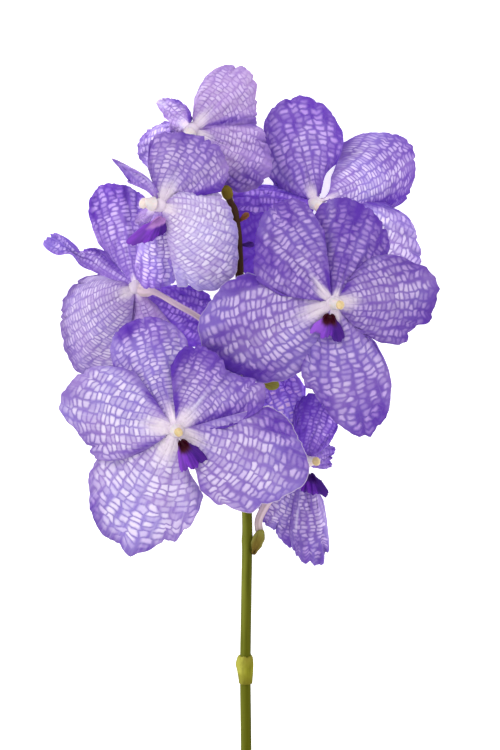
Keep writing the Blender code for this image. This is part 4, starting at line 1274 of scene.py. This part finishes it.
def petal_material():
    """Pale cells between violet veins, cream at the claw and solid violet towards the margin."""
    made = Recipe("petal")
    u, v, gap = made.attribute("net")
    along, _, edge = made.attribute("zone")
    deep, pale, mauve = made.attribute("tone")
    # The painted rim highlight, the cells' size and the painted light
    rim, size, light = made.attribute("more")
    place = made.place()
    # The net's two nearest seeds, a little astray from an even grid
    wander = made.vector("SUBTRACT", made.noise(place, 130.0, 1.5, colour=True), (0.5, 0.5, 0.5))
    spot_at = made.vector("ADD", made.join(u, v, 0.0), made.vector("MULTIPLY", wander, (0.8, 1.4, 0.0)))
    jitter = made.ease(along, 0.2, 0.95, 0.27, 0.5) + made.ease(size, 0.93, 1.0, 0.0, 0.12)
    swing = made.noise(place, 75.0, 2.0) - 0.5
    deep = deep + swing * 0.85
    slack = made.ease(deep, 0.1, 0.8, 0.45, 0.0)
    seed, chance = made.cells(spot_at, "F1", jitter)
    other, _ = made.cells(spot_at, "F2", jitter)
    # How far the spot is from the vein between the seeds, and from its own seed
    step = made.vector("SUBTRACT", other, seed)
    halfway = made.vector("SCALE", made.vector("ADD", seed, other), 0.5)
    reach = made.vector("DOT_PRODUCT", step, made.vector("SUBTRACT", halfway, spot_at))
    pitch = made.join(gap, size * CELL_LENGTH, 1.0)
    own = made.vector("SUBTRACT", spot_at, seed)
    off = reach / made.vector("LENGTH", made.vector("DIVIDE", step, pitch)) / size
    out = made.vector("LENGTH", made.vector("MULTIPLY", own, pitch)) / size
    apart = made.math("ABSOLUTE", made.split(own)[0])
    band = made.ease(apart, 0.28, made.ease(along, 0.3, 0.9, 0.62, 0.72), 1.0,
                     made.ease(slack, 0.0, 1.0, 0.2, 0.5))
    luck, showing, _ = made.split(chance)
    fuller = luck + slack
    round_off = made.ease(out, made.ease(fuller, 0.0, 2.0, 0.6, 1.5),
                          made.ease(fuller, 0.0, 2.0, 2.1, 3.6), 1.0, 0.0)
    fuzz = (made.noise(place, 800.0, 3.0) - 0.5) * 0.55
    wall = made.ease(slack, 0.0, 1.0, 1.0, 0.75)
    cell = made.ease(off + fuzz, -0.25, wall) * round_off * band
    # The cells fade towards the margin and where the violet is deepest
    shown = made.ease(edge + swing * 8.0, -0.5, 4.5, 0.1, 1.0) * made.ease(deep, 0.8, 1.7, 1.0, 0.12)
    shown = shown * made.ease(showing, 0.0, 1.0, 0.4, 1.15)
    cell = cell * shown
    fill = made.mix(deep, made.mix(mauve, CELL_PALE, MAUVE_CELL), CELL_DEEP)
    hue = made.ease(made.noise(place, 45.0, 1.0), 0.4, 0.65)
    net = made.mix(mauve, made.mix(hue, NET_PALE, NET_BLUE), MAUVE_NET)
    net = made.mix(deep, net, NET_DEEP)
    net = made.mix(made.ease(deep, 0.8, 1.7), net, SOLID)
    colour = made.mix(cell, net, fill)
    line = made.ease(off, 0.0, 0.35, 0.6, 0.0) * shown * made.ease(apart, 0.3, 0.6, 1.0, 0.4)
    colour = made.mix(line, colour, VEIN)
    # The claw is bleached in streaks, and a pale line of painted highlight runs along some margins
    streaks = made.noise(made.join(u * 4.5, v * 0.14, 0.0), 1.0, 3.0)
    pale_share = pale + (streaks - 0.5) * 0.7
    white = made.mix(made.ease(along, 0.1, 0.45), CREAM, WHITE)
    colour = made.mix(made.ease(pale_share, 0.05, 1.0, 0.0, 0.94), colour, white)
    painted_rim_highlight = rim * made.ease(along, 0.6, 0.85) * made.ease(edge, 0.1, 0.45, 0.75, 0.0)
    colour = made.mix(painted_rim_highlight, colour, CREAM)
    # Painted light: a tepal lying in the shade is made paler, up to the palest colour
    lighter = made.mix(1.0, colour, made.join(light, light, light), "MULTIPLY")
    colour = made.vector("MINIMUM", lighter, PALEST)
    # Painted shade in fine speckles, for the blade's crinkles
    speckled_shade = made.ease(made.noise(place, 420.0, 3.0), 0.35, 0.7, 0.0, 0.3)
    colour = made.mix(speckled_shade, colour, SPECKLED_SHADE, "SOFT_LIGHT")
    grain = made.noise(place, 1500.0, 2.0)
    made.bump(cell + (streaks * 1.2 + grain * 0.3), 0.2, 0.8)
    return made.finish(colour, made.ease(grain, 0.2, 0.8, 0.45, 0.62), {
        "Subsurface Weight": 0.1, "Subsurface Radius": (1.0, 0.7, 1.0), "Subsurface Scale": 0.5 * MM,
        "Sheen Weight": 0.02, "Sheen Roughness": 0.4, "Specular IOR Level": 0.1})


def lip_material(name, throat, painted_light):
    """Deep violet with darker grooves, painted light on its left side and painted shade on its right,
    and a throat of another colour at its root.
    """
    made = Recipe(name)
    along, side, _ = made.attribute("zone")
    cloud = made.noise(made.place(), 260.0, 3.0)
    grooves = made.noise(made.join(side * 5.0, along * 0.8, 0.0), 1.0, 2.0)
    colour = made.mix(made.ease(grooves, 0.35, 0.65), LIP_GROOVE, LIP_RIDGE)
    colour = made.mix(made.ease(cloud, 0.4, 0.7, 0.0, 0.35), colour, LIP_CLOUD)
    # Painted light on the lip's left side and painted shade on its right
    colour = made.mix(made.ease(side, -0.9, 0.4, painted_light, 0.0), colour, LIP_PAINTED_LIGHT)
    colour = made.mix(made.ease(side, 0.05, 0.7, 0.0, 0.8), colour, LIP_PAINTED_SHADE)
    colour = made.mix(made.ease(along + cloud * 0.2, 0.44, 0.66, 1.0, 0.0), colour, throat)
    made.bump(grooves, 0.25, 0.7)
    return made.finish(colour, made.ease(cloud, 0.3, 0.7, 0.34, 0.5), {"Specular IOR Level": 0.12})


def column_material():
    """Waxy cream, faintly rosy at its foot."""
    made = Recipe("column")
    along, _, _ = made.attribute("zone")
    cloud = made.noise(made.place(), 500.0, 3.0)
    colour = made.mix(made.ease(along, 0.0, 0.5, 0.3, 0.0), COLUMN_CREAM, COLUMN_FOOT)
    colour = made.mix(made.ease(cloud, 0.35, 0.75, 0.0, 0.35), colour, COLUMN_TAN)
    made.bump(cloud, 0.12, 0.5)
    return made.finish(colour, made.ease(cloud, 0.3, 0.7, 0.32, 0.45), {
        "Specular IOR Level": 0.25, "Subsurface Weight": 0.2, "Subsurface Scale": 0.8 * MM})


def cap_material(name, bright, dull):
    """The anther cap, its hind edge paler."""
    made = Recipe(name)
    along, _, _ = made.attribute("zone")
    cloud = made.noise(made.place(), 800.0, 3.0)
    colour = made.mix(made.ease(cloud, 0.3, 0.7), bright, dull)
    colour = made.mix(made.ease(along, 0.0, 0.45, 0.7, 0.0), colour, CAP_HIND)
    made.bump(cloud, 0.1, 0.5)
    return made.finish(colour, made.ease(cloud, 0.3, 0.7, 0.35, 0.5), {
        "Specular IOR Level": 0.2, "Subsurface Weight": 0.15, "Subsurface Scale": 0.5 * MM})


def stalk_material(name, runs=2.0, tip=None, painted_light=None, browned=1.0, fades=0.82):
    """A stalk whose colour changes along its length, with fine lengthwise streaks and, where given, a
    band of painted light.
    """
    made = Recipe(name)
    low, middle, high = STALKS[name]
    along, turn, third = made.attribute("zone")
    streaks = made.noise(made.join(turn * 9.0, along * runs, third), 1.0, 4.0)
    cloud = made.noise(made.place(), 900.0, 2.0)
    place = along + (streaks - 0.5) * 0.12
    colour = made.mix(made.ease(place, 0.0, 0.5), low, middle)
    colour = made.mix(made.ease(place, 0.5, browned), colour, high)
    if painted_light:
        # A band of painted light down the lit side of the stem and the sheath
        painted_light_stripe = made.ease(turn, 0.42, 0.6) * made.ease(turn, 0.62, 0.8, 1.0, 0.0)
        painted_light_stripe = painted_light_stripe * made.ease(along, 0.3, 0.5, 0.35, 0.9)
        painted_light_stripe = painted_light_stripe * made.ease(along, fades - 0.12, fades, 1.0, 0.0)
        colour = made.mix(painted_light_stripe, colour, painted_light)
    if tip:
        colour = made.mix(made.ease(along, 0.983, 0.987), colour, tip)
    darker = made.mix(1.0, colour, STREAK, "MULTIPLY")
    colour = made.mix(made.ease(streaks, 0.42, 0.75, 0.0, 0.7), colour, darker)
    colour = made.mix(made.ease(cloud, 0.6, 0.75, 0.0, 0.25), colour, high)
    made.bump(streaks + cloud * 0.5, 0.12, 0.6)
    return made.finish(colour, made.ease(cloud, 0.3, 0.7, 0.42, 0.6), {"Specular IOR Level": 0.02})


def paper_material():
    """The floor's white paper."""
    made = Recipe("paper")
    fibre = made.noise(made.place(), 700.0, 2.0)
    made.bump(fibre, 0.05, 0.3)
    colour = made.mix(made.ease(fibre, 0.3, 0.7), PAPER_DARK, PAPER_LIGHT)
    return made.finish(colour, 0.9, {"Emission Color": WHITE_LIGHT, "Emission Strength": FLOOR_GLOW})


def make_floor():
    """A pale floor under the spray."""
    mesh = bpy.data.meshes.new("floor")
    corners = [(x * FLOOR_HALF, y * FLOOR_HALF, 0) for x, y in ((-1, -1), (1, -1), (1, 1), (-1, 1))]
    mesh.from_pydata(corners, [], [(0, 1, 2, 3)])
    mesh.materials.append(paper_material())
    floor = bpy.data.objects.new("floor", mesh)
    bpy.context.scene.collection.objects.link(floor)


def make_light(name, place, size, power):
    """A square soft light turned towards the spray."""
    data = bpy.data.lights.new(name, "AREA")
    data.size = size
    data.energy = power
    light = bpy.data.objects.new(name, data)
    light.location = place
    light.rotation_euler = (Vector(AIM) - Vector(place)).to_track_quat("-Z", "Y").to_euler()
    bpy.context.scene.collection.objects.link(light)


def make_studio():
    """Soft light from all round and a camera that looks down."""
    scene = bpy.context.scene
    scene.view_settings.view_transform = "Standard"
    world = bpy.data.worlds.new("studio")
    world.use_nodes = True
    sky = world.node_tree.nodes["Background"]
    sky.inputs["Color"].default_value = WHITE_LIGHT
    sky.inputs["Strength"].default_value = SKY_GLOW
    scene.world = world
    for name, kind in LIGHTS.items():
        make_light(name, *kind)
    data = bpy.data.cameras.new("camera")
    data.sensor_fit = "VERTICAL"
    data.sensor_height = SENSOR
    data.lens = SENSOR * (CAMERA_HEIGHT - PIXEL_LEVEL) / (FRAME_PIXELS * PIXEL)
    data.clip_end = FAR_CLIP
    camera = bpy.data.objects.new("camera", data)
    camera.location = (CAMERA_X * MM, CAMERA_Y * MM, CAMERA_HEIGHT * MM)
    scene.collection.objects.link(camera)
    scene.camera = camera


def main():
    """Dress the spray."""
    for thing in list(bpy.data.objects):
        bpy.data.objects.remove(thing, do_unlink=True)
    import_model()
    petals, columns = petal_material(), column_material()
    lips = {name: lip_material(name, *kind) for name, kind in LIPS.items()}
    caps = {name: cap_material(name, *kind) for name, kind in CAPS.items()}
    stalks = {name: stalk_material(name) for name in STALKS if name not in ("stem", "sheath")}
    for number, bloom in enumerate(BLOOMS, start=1):
        lip, cap, bract = bloom.finish
        make_petals(number, bloom, petals)
        make_lip(number, bloom, lips[lip])
        make_column(number, bloom, columns, caps[cap])
        make_pedicel(number, bloom, stalks["pedicel"])
        make_bract(number, bloom, stalks[bract])
    make_stem(stalk_material("stem", runs=14.0, tip=STEM_TIP, painted_light=STEM_PAINTED_LIGHT, browned=0.8))
    make_sheath(stalk_material("sheath", painted_light=SHEATH_PAINTED_LIGHT, fades=1.3))
    make_floor()
    make_studio()


main()
